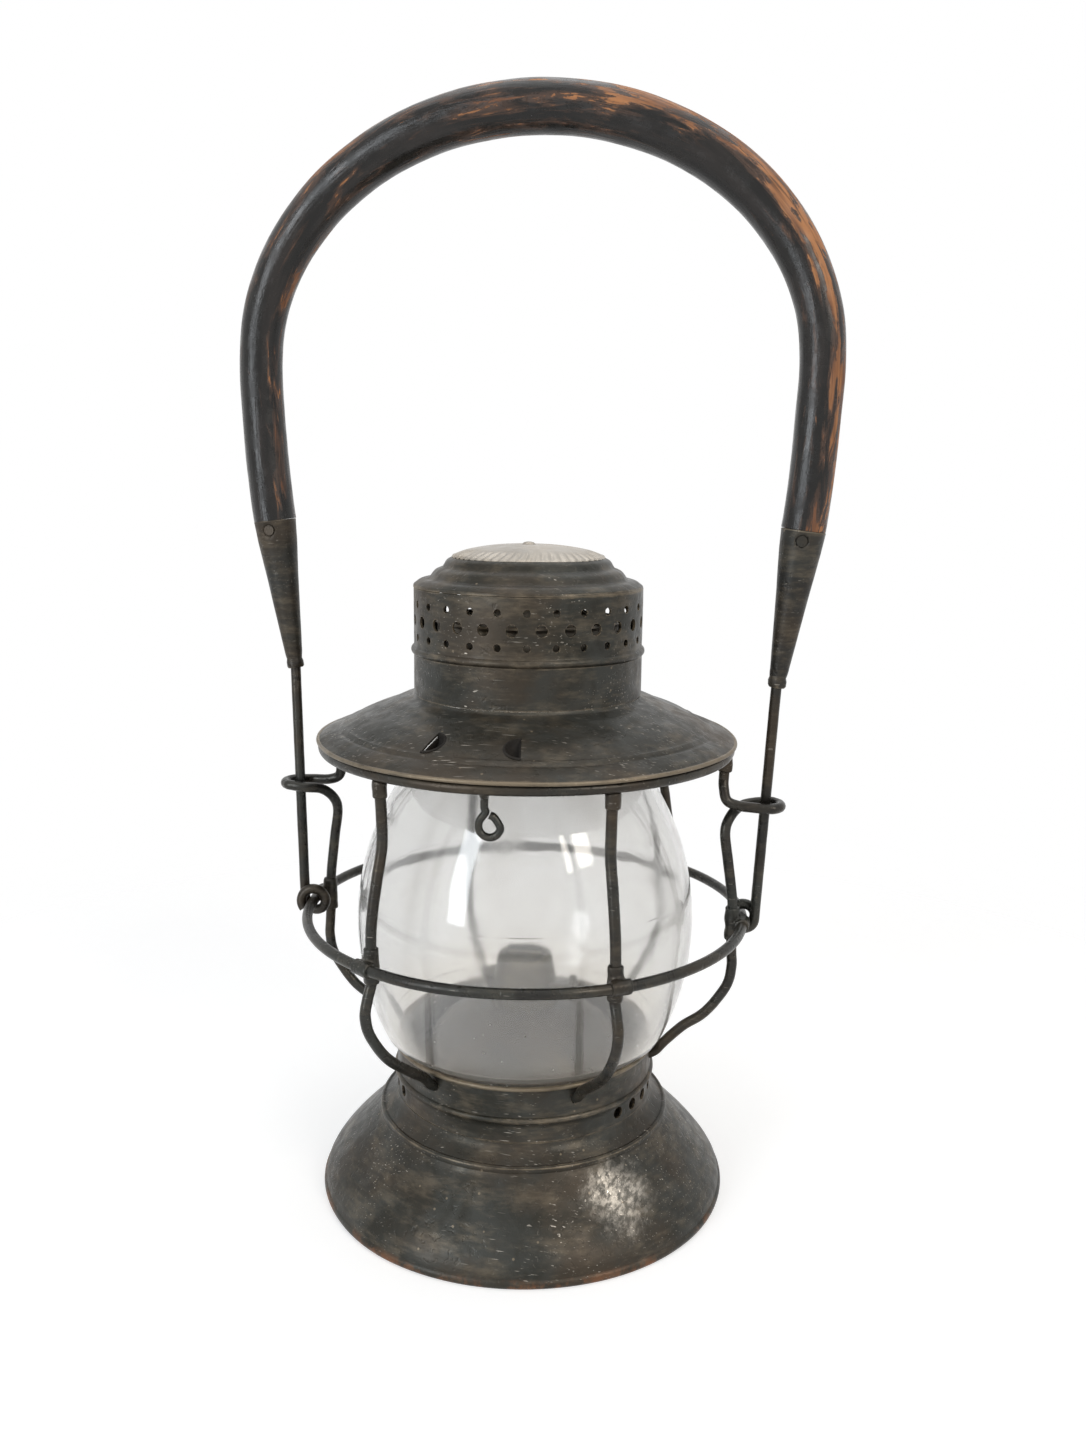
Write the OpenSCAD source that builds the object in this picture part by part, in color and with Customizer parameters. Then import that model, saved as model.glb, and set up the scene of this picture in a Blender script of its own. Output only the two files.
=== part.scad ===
// Railroad signal lantern: bell-bottomed wire-guard hand lantern with a clear globe.
// Millimetres. The origin is the centre of the foot on the floor, +Z is up, the bail lies along X
// and the lid catch hangs at the front, towards -Y.

/* [Base] */
// Outside diameter of the bell-shaped foot
foot_d = 160; // [150:1:172]
// Height of the bell, from the floor to the collar
bell_h = 39.4; // [36:0.2:42]
// Radius of the rolled hem round the foot
hem_r = 2; // [1.8:0.1:2.6]
// Diameter of the wire rolled into the hem
hem_wire_d = 2.2; // [1.6:0.1:2.4]
// Outside diameter of the collar above the bell
collar_d = 100.6; // [97:0.2:104]
// Height of the collar, from the bell to its rolled rim
collar_h = 21.4; // [20:0.2:26]
// Radius of the beads pressed round the base
bead_r = 1.3; // [1:0.1:1.6]
// Thickness of the sheet metal
sheet = 0.9; // [0.7:0.05:1.1]
// Diameter of one air hole in the collar
air_hole_d = 4.6; // [3.6:0.2:5.2]
// Number of air holes, from one end of the front panel round the back to the other
air_holes = 25; // [15:2:27]
// Angle covered by the pressed front panel
panel_angle = 102; // [80:2:110]
// Depth to which the front panel is pressed in
panel_depth = 0.4; // [0.2:0.05:0.6]

/* [Globe] */
// Largest diameter of the glass globe
globe_d = 130; // [124:1:136]
// Radius of the belly's curve from top to bottom
belly_r = 100; // [90:1:115]
// Height of the globe
globe_h = 150; // [140:1:158]
// Thickness of the glass
glass = 3; // [2.4:0.1:3.4]
// Height of the belly's middle above the globe's foot
belly_z = 57.8; // [54:0.2:64]
// Depth of the globe's seat below the collar's rim
seat_depth = 10.4; // [9.6:0.2:12]
// Outside diameter of the straight fitter at the top
globe_top_d = 77; // [72:1:80]
// Height of the straight fitter at the top
globe_top_h = 12; // [8:1:16]

/* [Wire guard] */
// Diameter of the guard's wire
wire_d = 3.9; // [3.4:0.1:4.2]
// Diameter of the round guard wire, to the middle of its wire
guard_d = 168; // [162:0.4:174]
// Height of the round guard wire above the collar's rim
guard_rise = 50.8; // [46:0.2:54]
// Diameter of the top ring that the lid sits on, to the middle of its wire
top_ring_d = 153; // [149:0.2:155]
// Height of the top ring above the collar's rim
top_ring_rise = 117.4; // [112:0.2:124]
// Length of the upright sleeve of a soldered clip
clip_l = 13; // [9:0.5:16]
// Width of a soldered clip along the round guard wire
clip_w = 7.6; // [6:0.2:7.8]
// Outside diameter of a soldered clip
clip_d = 5.6; // [5:0.1:6.4]
// Height of the bail's guide loops above the round guard wire
loop_rise = 46; // [40:0.5:49]

/* [Lid] */
// Outside diameter of the brim
brim_d = 158.4; // [157:0.2:162]
// Rise of the brim, from its edge to the neck
brim_rise = 16.8; // [13:0.2:20]
// Outside diameter of the neck and the vent band
neck_d = 85.2; // [83:0.2:88]
// Height of the plain neck
neck_h = 15; // [12:0.5:18]
// Height of the vent band with its bead
vent_h = 24.5; // [23:0.5:28]
// Number of holes in each row of the vent band
vent_holes = 26; // [18:1:28]
// Diameter of a large vent hole
vent_hole_d = 4.3; // [3.6:0.1:5]
// Diameter of a small vent hole
small_hole_d = 2.7; // [2.2:0.1:3.2]
// Rise of the stepped crown
crown_h = 11.5; // [10:0.5:15]
// Diameter of the crimped cap on the crown
cap_d = 56; // [50:1:58]
// Rise of the cap
cap_h = 4.2; // [2.6:0.2:5.2]
// Diameter of the stud in the middle of the cap
stud_d = 5; // [4:0.2:7]
// Outside diameter of the draught tube inside the vent band
draught_d = 67.6; // [62:0.2:71]
// Height of the draught tube
draught_h = 25.5; // [21:0.5:28]
// Width of the strap that hinges the lid on the top ring
strap_w = 6; // [5:0.5:10]

/* [Lid catch] */
// Diameter of the catch's wire
catch_wire_d = 2.7; // [2.4:0.1:3]
// Distance of the catch's pin from the lantern's axis
catch_r = 70.1; // [68.5:0.1:70.1]
// Angle of the catch round the lantern, from the front
catch_angle = 0; // [-4:0.5:6]
// Length of the catch below its pin
catch_l = 18; // [15:0.5:20]
// Width of the finger hook
catch_w = 10; // [8:0.5:11]

/* [Bail] */
// Width of the bail, between the middles of its two sides at the widest
bail_w = 205.6; // [202:0.4:214]
// Height of the widest part above the round guard wire
bail_wide_rise = 205.2; // [198:0.4:212]
// Height of the crown's middle above the widest part
crown_rise = 86; // [80:1:94]
// Diameter of the grip at its ends
grip_d = 15.8; // [14:0.2:17]
// Diameter of the grip at the crown
grip_crown_d = 18.2; // [16:0.2:19]
// Height of the grip's ends above the round guard wire
grip_end_rise = 148; // [140:0.4:152]
// Width between the middles of the grip's two ends
grip_end_w = 198.4; // [196:0.4:202]
// Length of a ferrule
ferrule_l = 57; // [50:0.5:62]
// Diameter of a ferrule at its lower tip
ferrule_tip_d = 6.6; // [5.6:0.1:7.4]
// Width between the middles of the ferrules' tips
ferrule_tip_w = 184.8; // [182:0.2:190]
// Radius of the bail's eyes, to the middle of the wire
eye_r = 4.6; // [4.4:0.1:5]
// Distance of each eye from the lantern's side, along the round guard wire
eye_shift = 6.5; // [6.2:0.1:7.5]
// Diameter of a ferrule nail's head
nail_d = 3.8; // [3:0.1:4.4]

/* [Fount and burner] */
// Outside diameter of the fount
fount_d = 77; // [74:0.5:78.5]
// Height of the fount's straight side
fount_h = 40; // [37:0.5:42]
// Rise of the fount's domed top
dome_h = 19; // [16:0.5:22]
// Height of the fount's bottom above the floor
fount_z = 14; // [12:0.5:16]
// Diameter of the burner's threaded collar
burner_d = 27; // [24:0.5:30]
// Height of the burner's cone
cone_h = 16; // [13:0.5:19]
// Diameter of the cone's flat top
cone_top_d = 20; // [19:0.5:22]
// Width of the wick
wick_w = 12.5; // [10:0.5:13]
// Thickness of the wick
wick_t = 2.4; // [1.8:0.1:2.6]
// Length of the wick
wick_l = 60; // [40:1:64]
// Diameter of the raiser's shaft
raiser_d = 2.4; // [2:0.1:2.8]
// Diameter of the raiser's spur wheel
spur_d = 6.8; // [6:0.1:7]
// Diameter of the raiser's thumb wheel
thumb_d = 10; // [8:0.5:12]
// Reach of the thumb wheel from the burner's axis
thumb_reach = 21; // [18:0.5:24]
// Diameter of the filler's screw cap
filler_d = 13; // [11:0.5:14]
// Distance of the filler from the fount's axis
filler_r = 27; // [25:0.5:28]
// Angle of the filler round the fount
filler_angle = 125; // [110:5:150]

/* [Fits] */
// Gap between parts that sit on one another and come apart
seat_gap = 0.3; // [0.2:0.05:0.5]
// Radial clearance of a turning pin
pin_gap = 0.05; // [0.03:0.01:0.08]
// Radial clearance of a pushed-in part
push_gap = 0.02; // [0.01:0.01:0.04]
// Play of the bail's legs in their guide loops, as a tilt in degrees
bail_play = 2; // [1:0.5:3]

/* [Hidden] */

$fn = 96;
sliver = 0.01;
through = 400;

// Radii worked out from the diameters
foot_r = foot_d / 2;
collar_r = collar_d / 2;
collar_in = collar_r - sheet;
wire_r = wire_d / 2;
guard_r = guard_d / 2;
top_ring_r = top_ring_d / 2;
neck_r = neck_d / 2;
brim_r = brim_d / 2;
globe_r = globe_d / 2;
clip_r = clip_d / 2;

// Heights up the base
hem_flat = 0.12;
hem_z = hem_r - hem_flat;
rim_z = bell_h + collar_h;
rim_r = 0.9;
upper_bead_z = rim_z - 12.8;
air_hole_z = upper_bead_z - bead_r - air_hole_d / 2 - 0.6;
seat_z = rim_z - seat_depth;
foot_flat_r = foot_r - hem_r;

// Heights up the guard
guard_z = rim_z + guard_rise;
top_ring_z = rim_z + top_ring_rise;
loop_z = guard_z + loop_rise;
wire_track_r = guard_r - wire_d;

// The globe stands on its seat
globe_z = seat_z + 0.1;
belly_mid_z = globe_z + belly_z;
fitter_r = collar_in - 2.2;
fitter_h = seat_depth - 3;
globe_top_r = globe_top_d / 2;

// Heights up the lid, which rests on the top ring
edge_bead_r = 0.75;
brim_edge_z = top_ring_z + 2.5;
brim_top_z = brim_edge_z + brim_rise;
vent_z = brim_top_z + neck_h;
crown_z = vent_z + vent_h;
cap_z = crown_z + crown_h;
vent_mid_z = vent_z + 12.9;
vent_row_gap = 6;
vent_turn = 3.8;
retainer_z = globe_z + globe_h + seat_gap;
draught_r = draught_d / 2;

// The bail
bail_wide_z = guard_z + bail_wide_rise;
grip_end_z = guard_z + grip_end_rise;
grip_end_x = grip_end_w / 2;
tip_x = ferrule_tip_w / 2;
leg_tilt = asin((grip_end_x - tip_x) / ferrule_l);
tip_z = grip_end_z - ferrule_l * cos(leg_tilt);
eye_x = sqrt(guard_r * guard_r - eye_shift * eye_shift);
leg_foot = [eye_x + eye_r, eye_shift, guard_z];
leg_head = [tip_x, 0, tip_z];
leg_at_loop = leg_foot + (leg_head - leg_foot) * loop_rise / (tip_z - guard_z);
loop_r = wire_d + loop_rise * sin(bail_play) + seat_gap;

// The fount hangs in its sleeve on three catches
fount_r = fount_d / 2;
sleeve_in = fount_r + 0.9;
sleeve_r = sleeve_in + sheet;
sleeve_z = fount_z + 4;
fount_top_z = fount_z + fount_h;
dome_top_z = fount_top_z + dome_h;
burner_r = burner_d / 2;
burner_h = 4;
burner_z = dome_top_z + burner_h;
cone_top_z = burner_z + cone_h;
lug_r = sleeve_in + 3;
lug_t = 1.6;
lug_angle = 16;
catch_shelf_angle = 20;
catch_count = 3;
lug_z = sleeve_z - lug_t - 1.2;
shaft_z = burner_z + 5;
spur_r = spur_d / 2;
tube_wall = 0.5;
tube_t = wick_t + 2 * (tube_wall + 0.4);
tube_w = wick_w + 2 * (tube_wall + 0.4);
spur_y = -(wick_t / 2 + 0.25 + spur_r);

// Points along an arc, angles in degrees
function arc(cx, cz, r, a0, a1, steps) =
    [for (i = [0:steps]) let (a = a0 + (a1 - a0) * i / steps) [cx + r * cos(a), cz + r * sin(a)]];

// A smooth curve through the given points, with a number of steps in each span
function between(a, b, c, d, t) =
    0.5 * (2 * b + (c - a) * t + (2 * a - 5 * b + 4 * c - d) * t * t + (3 * b - a - 3 * c + d) * t * t * t);
function before(p) = 2 * p[0] - p[1];
function after(p) = 2 * p[len(p) - 1] - p[len(p) - 2];
function smooth(p, steps) = let (q = concat([before(p)], p, [after(p)]))
    concat([for (i = [1:len(p) - 1], k = [0:steps - 1])
            between(q[i - 1], q[i], q[i + 1], q[i + 2], k / steps)], [p[len(p) - 1]]);

// The unit normal on the left of an outline at a point
function unit(v) = v / norm(v);
function side_of(p, i) = let (a = p[max(0, i - 1)], b = p[min(len(p) - 1, i + 1)], d = unit(b - a)) [-d[1], d[0]];
// A strip of sheet: the outline and the same outline set off to its left
function strip(p, t) = concat(p, [for (i = [len(p) - 1:-1:0]) p[i] + t * side_of(p, i)]);

module turned(outline) {
    rotate_extrude() polygon(outline);
}

// Directions along a path, and a frame carried along it without twist
function along(p) = [for (i = [0:len(p) - 1]) unit(p[min(len(p) - 1, i + 1)] - p[max(0, i - 1)])];
function carried(t, u, i = 0) = i == len(t) ? [] :
    let (w = unit(u - (u * t[i]) * t[i])) concat([w], carried(t, w, i + 1));

// A round rod along a path, with a radius at each point
module rod(path, radii, start_side, sides) {
    n = len(path);
    t = along(path);
    u = carried(t, start_side);
    points = [for (i = [0:n - 1]) let (v = cross(t[i], u[i])) for (j = [0:sides - 1])
        path[i] + radii[i] * (cos(360 * j / sides) * u[i] + sin(360 * j / sides) * v)];
    sides_up = [for (i = [0:n - 2], j = [0:sides - 1]) let (k = (j + 1) % sides)
        [i * sides + j, (i + 1) * sides + j, i * sides + k]];
    sides_down = [for (i = [0:n - 2], j = [0:sides - 1]) let (k = (j + 1) % sides)
        [i * sides + k, (i + 1) * sides + j, (i + 1) * sides + k]];
    start_face = [[for (j = [0:sides - 1]) j]];
    end_face = [[for (j = [sides - 1:-1:0]) (n - 1) * sides + j]];
    polyhedron(concat(points), concat(sides_up, sides_down, start_face, end_face), convexity = 6);
}

module even_rod(path, r, start_side, sides) {
    rod(path, [for (p = path) r], start_side, sides);
}

module ring(r, wire) {
    rotate_extrude() translate([r, 0]) circle(r = wire, $fn = 32);
}

// A straight round bar between two points
module bar(a, b, r) {
    d = b - a;
    translate(a) rotate([0, acos(d[2] / norm(d)), atan2(d[1], d[0])]) cylinder(r = r, h = norm(d), $fn = 32);
}

// Base

bell_span = foot_r - collar_r;
bell_drop = bell_h - hem_r;
// Shares of the bell's spread and height: the flare above its bead, the bead, and the slope below
flare_shape = [[0, 1], [0.015, 0.965], [0.05, 0.925], [0.11, 0.88], [0.172, 0.838]];
bead_shape = [[0.20, 0.842], [0.224, 0.825], [0.230, 0.80], [0.226, 0.775]];
slope_shape = [[0.255, 0.74], [0.32, 0.685], [0.49, 0.545], [0.66, 0.41], [0.80, 0.285], [0.90, 0.18], [0.95, 0.11]];
function bell_at(shape) = [for (s = shape) [collar_r + s[0] * bell_span, hem_r + s[1] * bell_drop]];
bell_line = concat(smooth(bell_at(flare_shape), 2), bell_at(bead_shape), smooth(bell_at(slope_shape), 3),
                   [[foot_flat_r + sheet * 0.9, hem_z + hem_r * 0.8]]);

module base_bell() {
    color("#3b3833") difference() {
        union() {
            turned(strip(bell_line, -sheet));
            translate([0, 0, hem_z]) ring(foot_flat_r, hem_r);
        }
        translate([0, 0, hem_z]) ring(foot_flat_r, hem_wire_d / 2 + push_gap);
        translate([0, 0, -2 * hem_r]) cylinder(r = foot_d, h = 2 * hem_r);
    }
}

module foot_hem_wire() {
    color("#6d5a48") translate([0, 0, hem_z]) ring(foot_flat_r, hem_wire_d / 2);
}

collar_line = concat(
    [[collar_r, rim_z - 0.3], [collar_r, upper_bead_z + bead_r + 0.4]],
    arc(collar_r - 0.1, upper_bead_z, bead_r, 80, -80, 8),
    [[collar_r, upper_bead_z - bead_r - 0.4], [collar_r, bell_h]]);
first_hole = panel_angle / 2 + 5;
hole_step = (360 - 2 * first_hole) / (air_holes - 1);
wire_hole_z = rim_z - 5.2;
wire_end_slope = 34;

// Angles of the six uprights of the guard, from the front
upright_angles = [-90, -30, 33.5, 90, 140.5, 210];

module base_collar() {
    panel_low = bell_h + 1;
    panel_high = upper_bead_z - bead_r - 0.9;
    color("#403c36") difference() {
        union() {
            turned(strip(collar_line, -sheet));
            translate([0, 0, rim_z]) ring(collar_r + rim_r - 0.25, rim_r);
            rotate([0, 0, -90 - panel_angle / 2]) rotate_extrude(angle = panel_angle)
                translate([collar_in - panel_depth, panel_low]) square([sheet, panel_high - panel_low]);
        }
        rotate([0, 0, -90 - panel_angle / 2]) rotate_extrude(angle = panel_angle)
            translate([collar_r - panel_depth, panel_low]) square([sheet, panel_high - panel_low]);
        for (i = [0:air_holes - 1])
            rotate([0, 0, -90 + first_hole + i * hole_step]) translate([collar_r, 0, air_hole_z])
                rotate([0, 90, 0]) cylinder(d = air_hole_d, h = 6 * sheet, center = true, $fn = 32);
        for (a = upright_angles)
            rotate([0, 0, a - 90]) translate([collar_r, 0, wire_hole_z])
                rotate([0, 90 - wire_end_slope, 0])
                    cylinder(r = wire_r + push_gap, h = 6 * sheet, center = true, $fn = 32);
    }
}

seat_holes = 30;
seat_hole_d = 2.4;
module globe_seat() {
    seat_hole_r = (sleeve_r + fitter_r - glass) / 2;
    color("#55504a") difference() {
        translate([0, 0, seat_z - sheet]) cylinder(r = collar_in, h = sheet);
        translate([0, 0, seat_z - 2 * sheet]) cylinder(r = sleeve_r, h = 3 * sheet);
        for (i = [0:seat_holes - 1])
            rotate([0, 0, i * 360 / seat_holes]) translate([seat_hole_r, 0, seat_z - 2 * sheet])
                cylinder(d = seat_hole_d, h = 3 * sheet, $fn = 24);
    }
}

sleeve_top_z = seat_z;
flange_r = lug_r + 0.4 + sheet;
module fount_sleeve() {
    color("#4a4640") {
        translate([0, 0, sleeve_z]) difference() {
            union() {
                cylinder(r = sleeve_r, h = sleeve_top_z - sleeve_z);
                cylinder(r = flange_r, h = sheet);
            }
            translate([0, 0, -sheet]) cylinder(r = sleeve_in, h = sleeve_top_z);
        }
        // a stay plate ties the sleeve to the collar above the bell
        translate([0, 0, bell_h]) difference() {
            cylinder(r = collar_in, h = sheet);
            translate([0, 0, -sheet]) cylinder(r = sleeve_in, h = 3 * sheet);
        }
    }
}

module fount_catches() {
    color("#5a554c") for (i = [0:catch_count - 1])
        rotate([0, 0, -90 - catch_shelf_angle / 2 + i * 360 / catch_count])
            rotate_extrude(angle = catch_shelf_angle) {
                translate([flange_r - sheet, lug_z - sheet - seat_gap])
                    square([sheet, sleeve_z - lug_z + sheet + seat_gap]);
                translate([fount_r + seat_gap, lug_z - sheet - seat_gap])
                    square([flange_r - fount_r - seat_gap, sheet]);
            }
}

// Globe

belly_c = globe_r - belly_r;
function belly_at(z) = belly_c + sqrt(belly_r * belly_r - (z - belly_mid_z) * (z - belly_mid_z));
shoulder_low_z = globe_z + fitter_h + 5.2;
shoulder_high_z = globe_z + globe_h - globe_top_h - 20;
globe_line = concat(
    [[fitter_r, globe_z], [fitter_r, globe_z + fitter_h]],
    smooth([[fitter_r + 0.3, globe_z + fitter_h + 1.5], [fitter_r + 1.4, globe_z + fitter_h + 3.1],
            [belly_at(shoulder_low_z) - 2.2, shoulder_low_z],
            [belly_at(shoulder_low_z + 2.2), shoulder_low_z + 2.2]], 4),
    [for (i = [1:20]) let (z = shoulder_low_z + 2.2 + (shoulder_high_z - shoulder_low_z - 2.2) * i / 20) [belly_at(z), z]],
    smooth([[belly_at(shoulder_high_z + 6), shoulder_high_z + 6],
            [globe_top_r + 2.4, shoulder_high_z + 14],
            [globe_top_r, globe_z + globe_h - globe_top_h]], 4),
    [[globe_top_r, globe_z + globe_h]]);

module globe() {
    color("#dfe4e2", 0.4) turned(strip(globe_line, glass));
}

// Wire guard

module guard_ring() {
    color("#36332f") translate([0, 0, guard_z]) ring(guard_r, wire_r);
}

module top_ring() {
    color("#2e2b28") translate([0, 0, top_ring_z]) ring(top_ring_r, wire_r);
}

// The ways of the uprights as radius and height. Below the round guard wire a plain upright
// bows out, and a side one bows less
upright_top = [top_ring_r - 1.3, top_ring_z - wire_r - push_gap];
function lower_way(bow) = [
    [wire_track_r, guard_z], [wire_track_r + 0.05, guard_z - 6.5], [wire_track_r + 0.4 + bow, guard_z - 12],
    [wire_track_r + 0.6 + 1.6 * bow, guard_z - 18], [wire_track_r - 1.3 + 1.4 * bow, guard_z - 26],
    [wire_track_r - 8.9 + 1.5 * bow, guard_z - 37], [collar_r + 12.2, rim_z + 7 - 1.4 * bow],
    [collar_r + 5.3, rim_z - 0.1], [collar_r + 2.2, wire_hole_z + 1.4], [collar_r - 0.7, wire_hole_z - 0.5]];
upper_way = [upright_top, [top_ring_r - 1.9, top_ring_z - 14], [top_ring_r - 2, top_ring_z - 25],
             [wire_track_r - 3.6, guard_z + 32], [wire_track_r - 1.4, guard_z + 21],
             [wire_track_r - 0.2, guard_z + 11]];
plain_way = smooth(concat(upper_way, lower_way(1.5)), 2);
wire_sides = 12;

module upright(angle) {
    color("#383531") rotate([0, 0, angle - 90])
        even_rod([for (p = plain_way) [p[0], 0, p[1]]], wire_r, [0, 1, 0], wire_sides);
}

module guard_wire_front_left() { upright(upright_angles[1]); }
module guard_wire_front_right() { upright(upright_angles[2]); }
module guard_wire_back_right() { upright(upright_angles[4]); }
module guard_wire_back_left() { upright(upright_angles[5]); }

// The two side wires turn out round the bail's leg in a flat loop, half way up
loop_x = leg_at_loop[0];
loop_y = leg_at_loop[1];
loop_turn = [for (a = [-70:20:70]) [loop_x + loop_r * cos(a), loop_y + loop_r * sin(a), loop_z]];
loop_way = smooth(concat(
    [[upright_top[0], 0, upright_top[1]], [top_ring_r - 1.4, 0, top_ring_z - 5],
     [top_ring_r - 1.7, -0.1, top_ring_z - 10], [top_ring_r - 1.5, -1.2, loop_z + 7],
     [top_ring_r - 0.2, -2.2, loop_z + 2.4], [top_ring_r + 3.8, loop_y - loop_r + 0.4, loop_z + 0.6],
     [loop_x - 4, loop_y - loop_r, loop_z + 0.2]],
    loop_turn,
    [[loop_x - 4, loop_y + loop_r - 0.4, loop_z - 0.6], [top_ring_r + 4.6, loop_y + 2.2, loop_z - 1.6],
     [top_ring_r + 1, 2, loop_z - 5.4], [top_ring_r - 0.4, 0.4, loop_z - 11],
     [top_ring_r + 1.2, 0, loop_z - 22], [wire_track_r - 0.35, 0, guard_z + 9]],
    [for (p = lower_way(0)) [p[0], 0, p[1]]]), 2);

module loop_wire_right() {
    color("#35322e") even_rod(loop_way, wire_r, [0, 1, 0], wire_sides);
}

module loop_wire_left() {
    color("#35322e") rotate([0, 0, 180]) even_rod(loop_way, wire_r, [0, 1, 0], wire_sides);
}

// A clip of sheet is wrapped round each crossing and soldered
clip_fill = 0.2;
clip_lean = 0.1;
module ring_clips() {
    color("#4a443c") difference() {
        for (a = upright_angles) rotate([0, 0, a - 90]) difference() {
            union() {
                translate([wire_track_r, 0, guard_z - clip_l / 2]) cylinder(r = clip_r, h = clip_l, $fn = 32);
                translate([guard_r, clip_w / 2, guard_z]) rotate([90, 0, 0]) cylinder(r = clip_r, h = clip_w, $fn = 32);
            }
            translate([wire_track_r - clip_lean, 0, guard_z - clip_l])
                cylinder(r = wire_r + clip_fill, h = 2 * clip_l, $fn = 32);
        }
        translate([0, 0, guard_z]) ring(guard_r, wire_r + push_gap);
    }
}

top_clip_l = 6;
module top_clips() {
    color("#4a443c") for (a = upright_angles) rotate([0, 0, a - 90])
        translate([upright_top[0], 0, top_ring_z - wire_r - push_gap - top_clip_l])
            difference() {
                cylinder(r = clip_r - 0.1, h = top_clip_l, $fn = 32);
                translate([-clip_lean, 0, -sliver]) cylinder(r = wire_r + clip_fill, h = top_clip_l + 2 * sliver, $fn = 32);
            }
}

// Lid

brim_span = brim_r - neck_r;
brim_shape = [[0.16, 0.845], [0.30, 0.71], [0.44, 0.60], [0.58, 0.465], [0.68, 0.345], [0.715, 0.315]];
ridge_shape = [[0.745, 0.262], [0.765, 0.232], [0.80, 0.212], [0.90, 0.125]];
brim_line = concat(
    smooth([[neck_r, brim_top_z], [neck_r + 0.7, brim_top_z - 1], [neck_r + 2.4, brim_top_z - 1.7]], 3),
    smooth([for (s = brim_shape) [neck_r + s[0] * brim_span, brim_edge_z + s[1] * brim_rise]], 3),
    smooth([for (s = ridge_shape) [neck_r + s[0] * brim_span, brim_edge_z + s[1] * brim_rise]], 3),
    [[brim_r - edge_bead_r, brim_edge_z + edge_bead_r * 0.5]]);

// Two half-round louvres are cut along one side and pressed down into the front of the brim,
// each with its angle from the front and the side it is pressed towards
louvres = [[-20.5, 1], [9.5, -1]];
louvre_r = neck_r + 0.545 * brim_span;
louvre_tilt = atan(0.964 * brim_rise / brim_span);
louvre_z = brim_edge_z + 0.5 * brim_rise - 0.55 * sheet;
louvre_w = 0.325 * brim_span;
scoop_r = 0.18 * brim_span;
scoop_lift = 0.0655 * brim_span;

module at_louvre(v) {
    rotate([0, 0, v[0] - 90]) translate([louvre_r, 0, louvre_z]) rotate([0, louvre_tilt, 0])
        mirror([0, v[1] < 0 ? 1 : 0, 0]) children();
}

module scoop_half(r) {
    intersection() {
        translate([0, 0, scoop_lift]) sphere(r = r, $fn = 48);
        translate([-louvre_w, 0, sheet / 2 - scoop_r]) cube([2 * louvre_w, louvre_w, scoop_r]);
    }
}

module lid_brim() {
    color("#45403a") {
        difference() {
            union() {
                turned(strip(brim_line, -sheet));
                translate([0, 0, brim_edge_z]) ring(brim_r - edge_bead_r, edge_bead_r);
            }
            for (v = louvres) at_louvre(v) translate([0, 0, -2 * sheet]) intersection() {
                cylinder(r = louvre_w / 2 - sheet / 2, h = 6 * sheet, $fn = 32);
                translate([-louvre_w, 0, 0]) cube([2 * louvre_w, louvre_w, 6 * sheet]);
            }
        }
        for (v = louvres) at_louvre(v) difference() {
            scoop_half(scoop_r);
            scoop_half(scoop_r - sheet);
        }
    }
}

module lid_neck() {
    color("#3f3b37") translate([0, 0, brim_top_z]) difference() {
        cylinder(r = neck_r, h = neck_h);
        translate([0, 0, -sheet]) cylinder(r = neck_r - sheet, h = neck_h + 2 * sheet);
    }
}

vent_bead_r = 1.5;
vent_line = concat(
    [[neck_r, crown_z], [neck_r, vent_z + 2 * vent_bead_r + 0.2]],
    arc(neck_r - 0.4, vent_z + vent_bead_r, vent_bead_r, 70, -90, 8),
    [[neck_r - sheet, vent_z], [neck_r - sheet, crown_z]]);

module vent_row(z, d, shift) {
    for (i = [0:vent_holes - 1])
        rotate([0, 0, vent_turn + (i + shift) * 360 / vent_holes]) translate([neck_r, 0, z])
            rotate([0, 90, 0]) cylinder(d = d, h = 6 * sheet, center = true, $fn = 24);
}

module vent_band() {
    color("#3c3936") difference() {
        turned(vent_line);
        vent_row(vent_mid_z - vent_row_gap, small_hole_d, 0);
        vent_row(vent_mid_z, vent_hole_d, 0.5);
        vent_row(vent_mid_z + vent_row_gap, small_hole_d, 0);
    }
}

cap_r = cap_d / 2;
crown_span = neck_r - cap_r;
// Each step of the crown: radius share, height share at its foot, and at its head
crown_steps = [[0.99, 0.62, 0.085, 0.27], [0.58, 0.26, 0.32, 0.64], [0.23, 0.03, 0.70, 1 - 0.72 * sheet / crown_h]];
function step_line(s) = let (
    a = [cap_r + s[0] * crown_span, crown_z + s[2] * crown_h],
    b = [cap_r + s[1] * crown_span, crown_z + s[3] * crown_h],
    m = (a + b) / 2 + 0.12 * [b[1] - a[1], a[0] - b[0]]) smooth([a, m, b], 3);
crown_line = concat([for (s = [for (i = [len(crown_steps) - 1:-1:0]) crown_steps[i]]) each
    let (l = step_line(s)) [for (i = [len(l) - 1:-1:0]) l[i]]], [[neck_r, crown_z + 0.5], [neck_r, crown_z]]);

module crown() {
    color("#4b433b") turned(strip(crown_line, -sheet));
}

cap_line = concat([[0, cap_z + cap_h]],
    smooth([[cap_r * 0.2, cap_z + cap_h * 0.985], [cap_r * 0.5, cap_z + cap_h * 0.86],
            [cap_r * 0.8, cap_z + cap_h * 0.52], [cap_r, cap_z + 0.2]], 4),
    [[cap_r + sheet * 0.6, cap_z - sheet * 0.6]]);

module crown_cap() {
    color("#8d8779") turned(concat(cap_line,
        [[cap_r - 0.6, cap_z - sheet * 0.7]],
        [[cap_r * 0.8, cap_z + cap_h * 0.52 - sheet], [cap_r * 0.5, cap_z + cap_h * 0.86 - sheet],
         [0, cap_z + cap_h - sheet]]));
}

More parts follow.
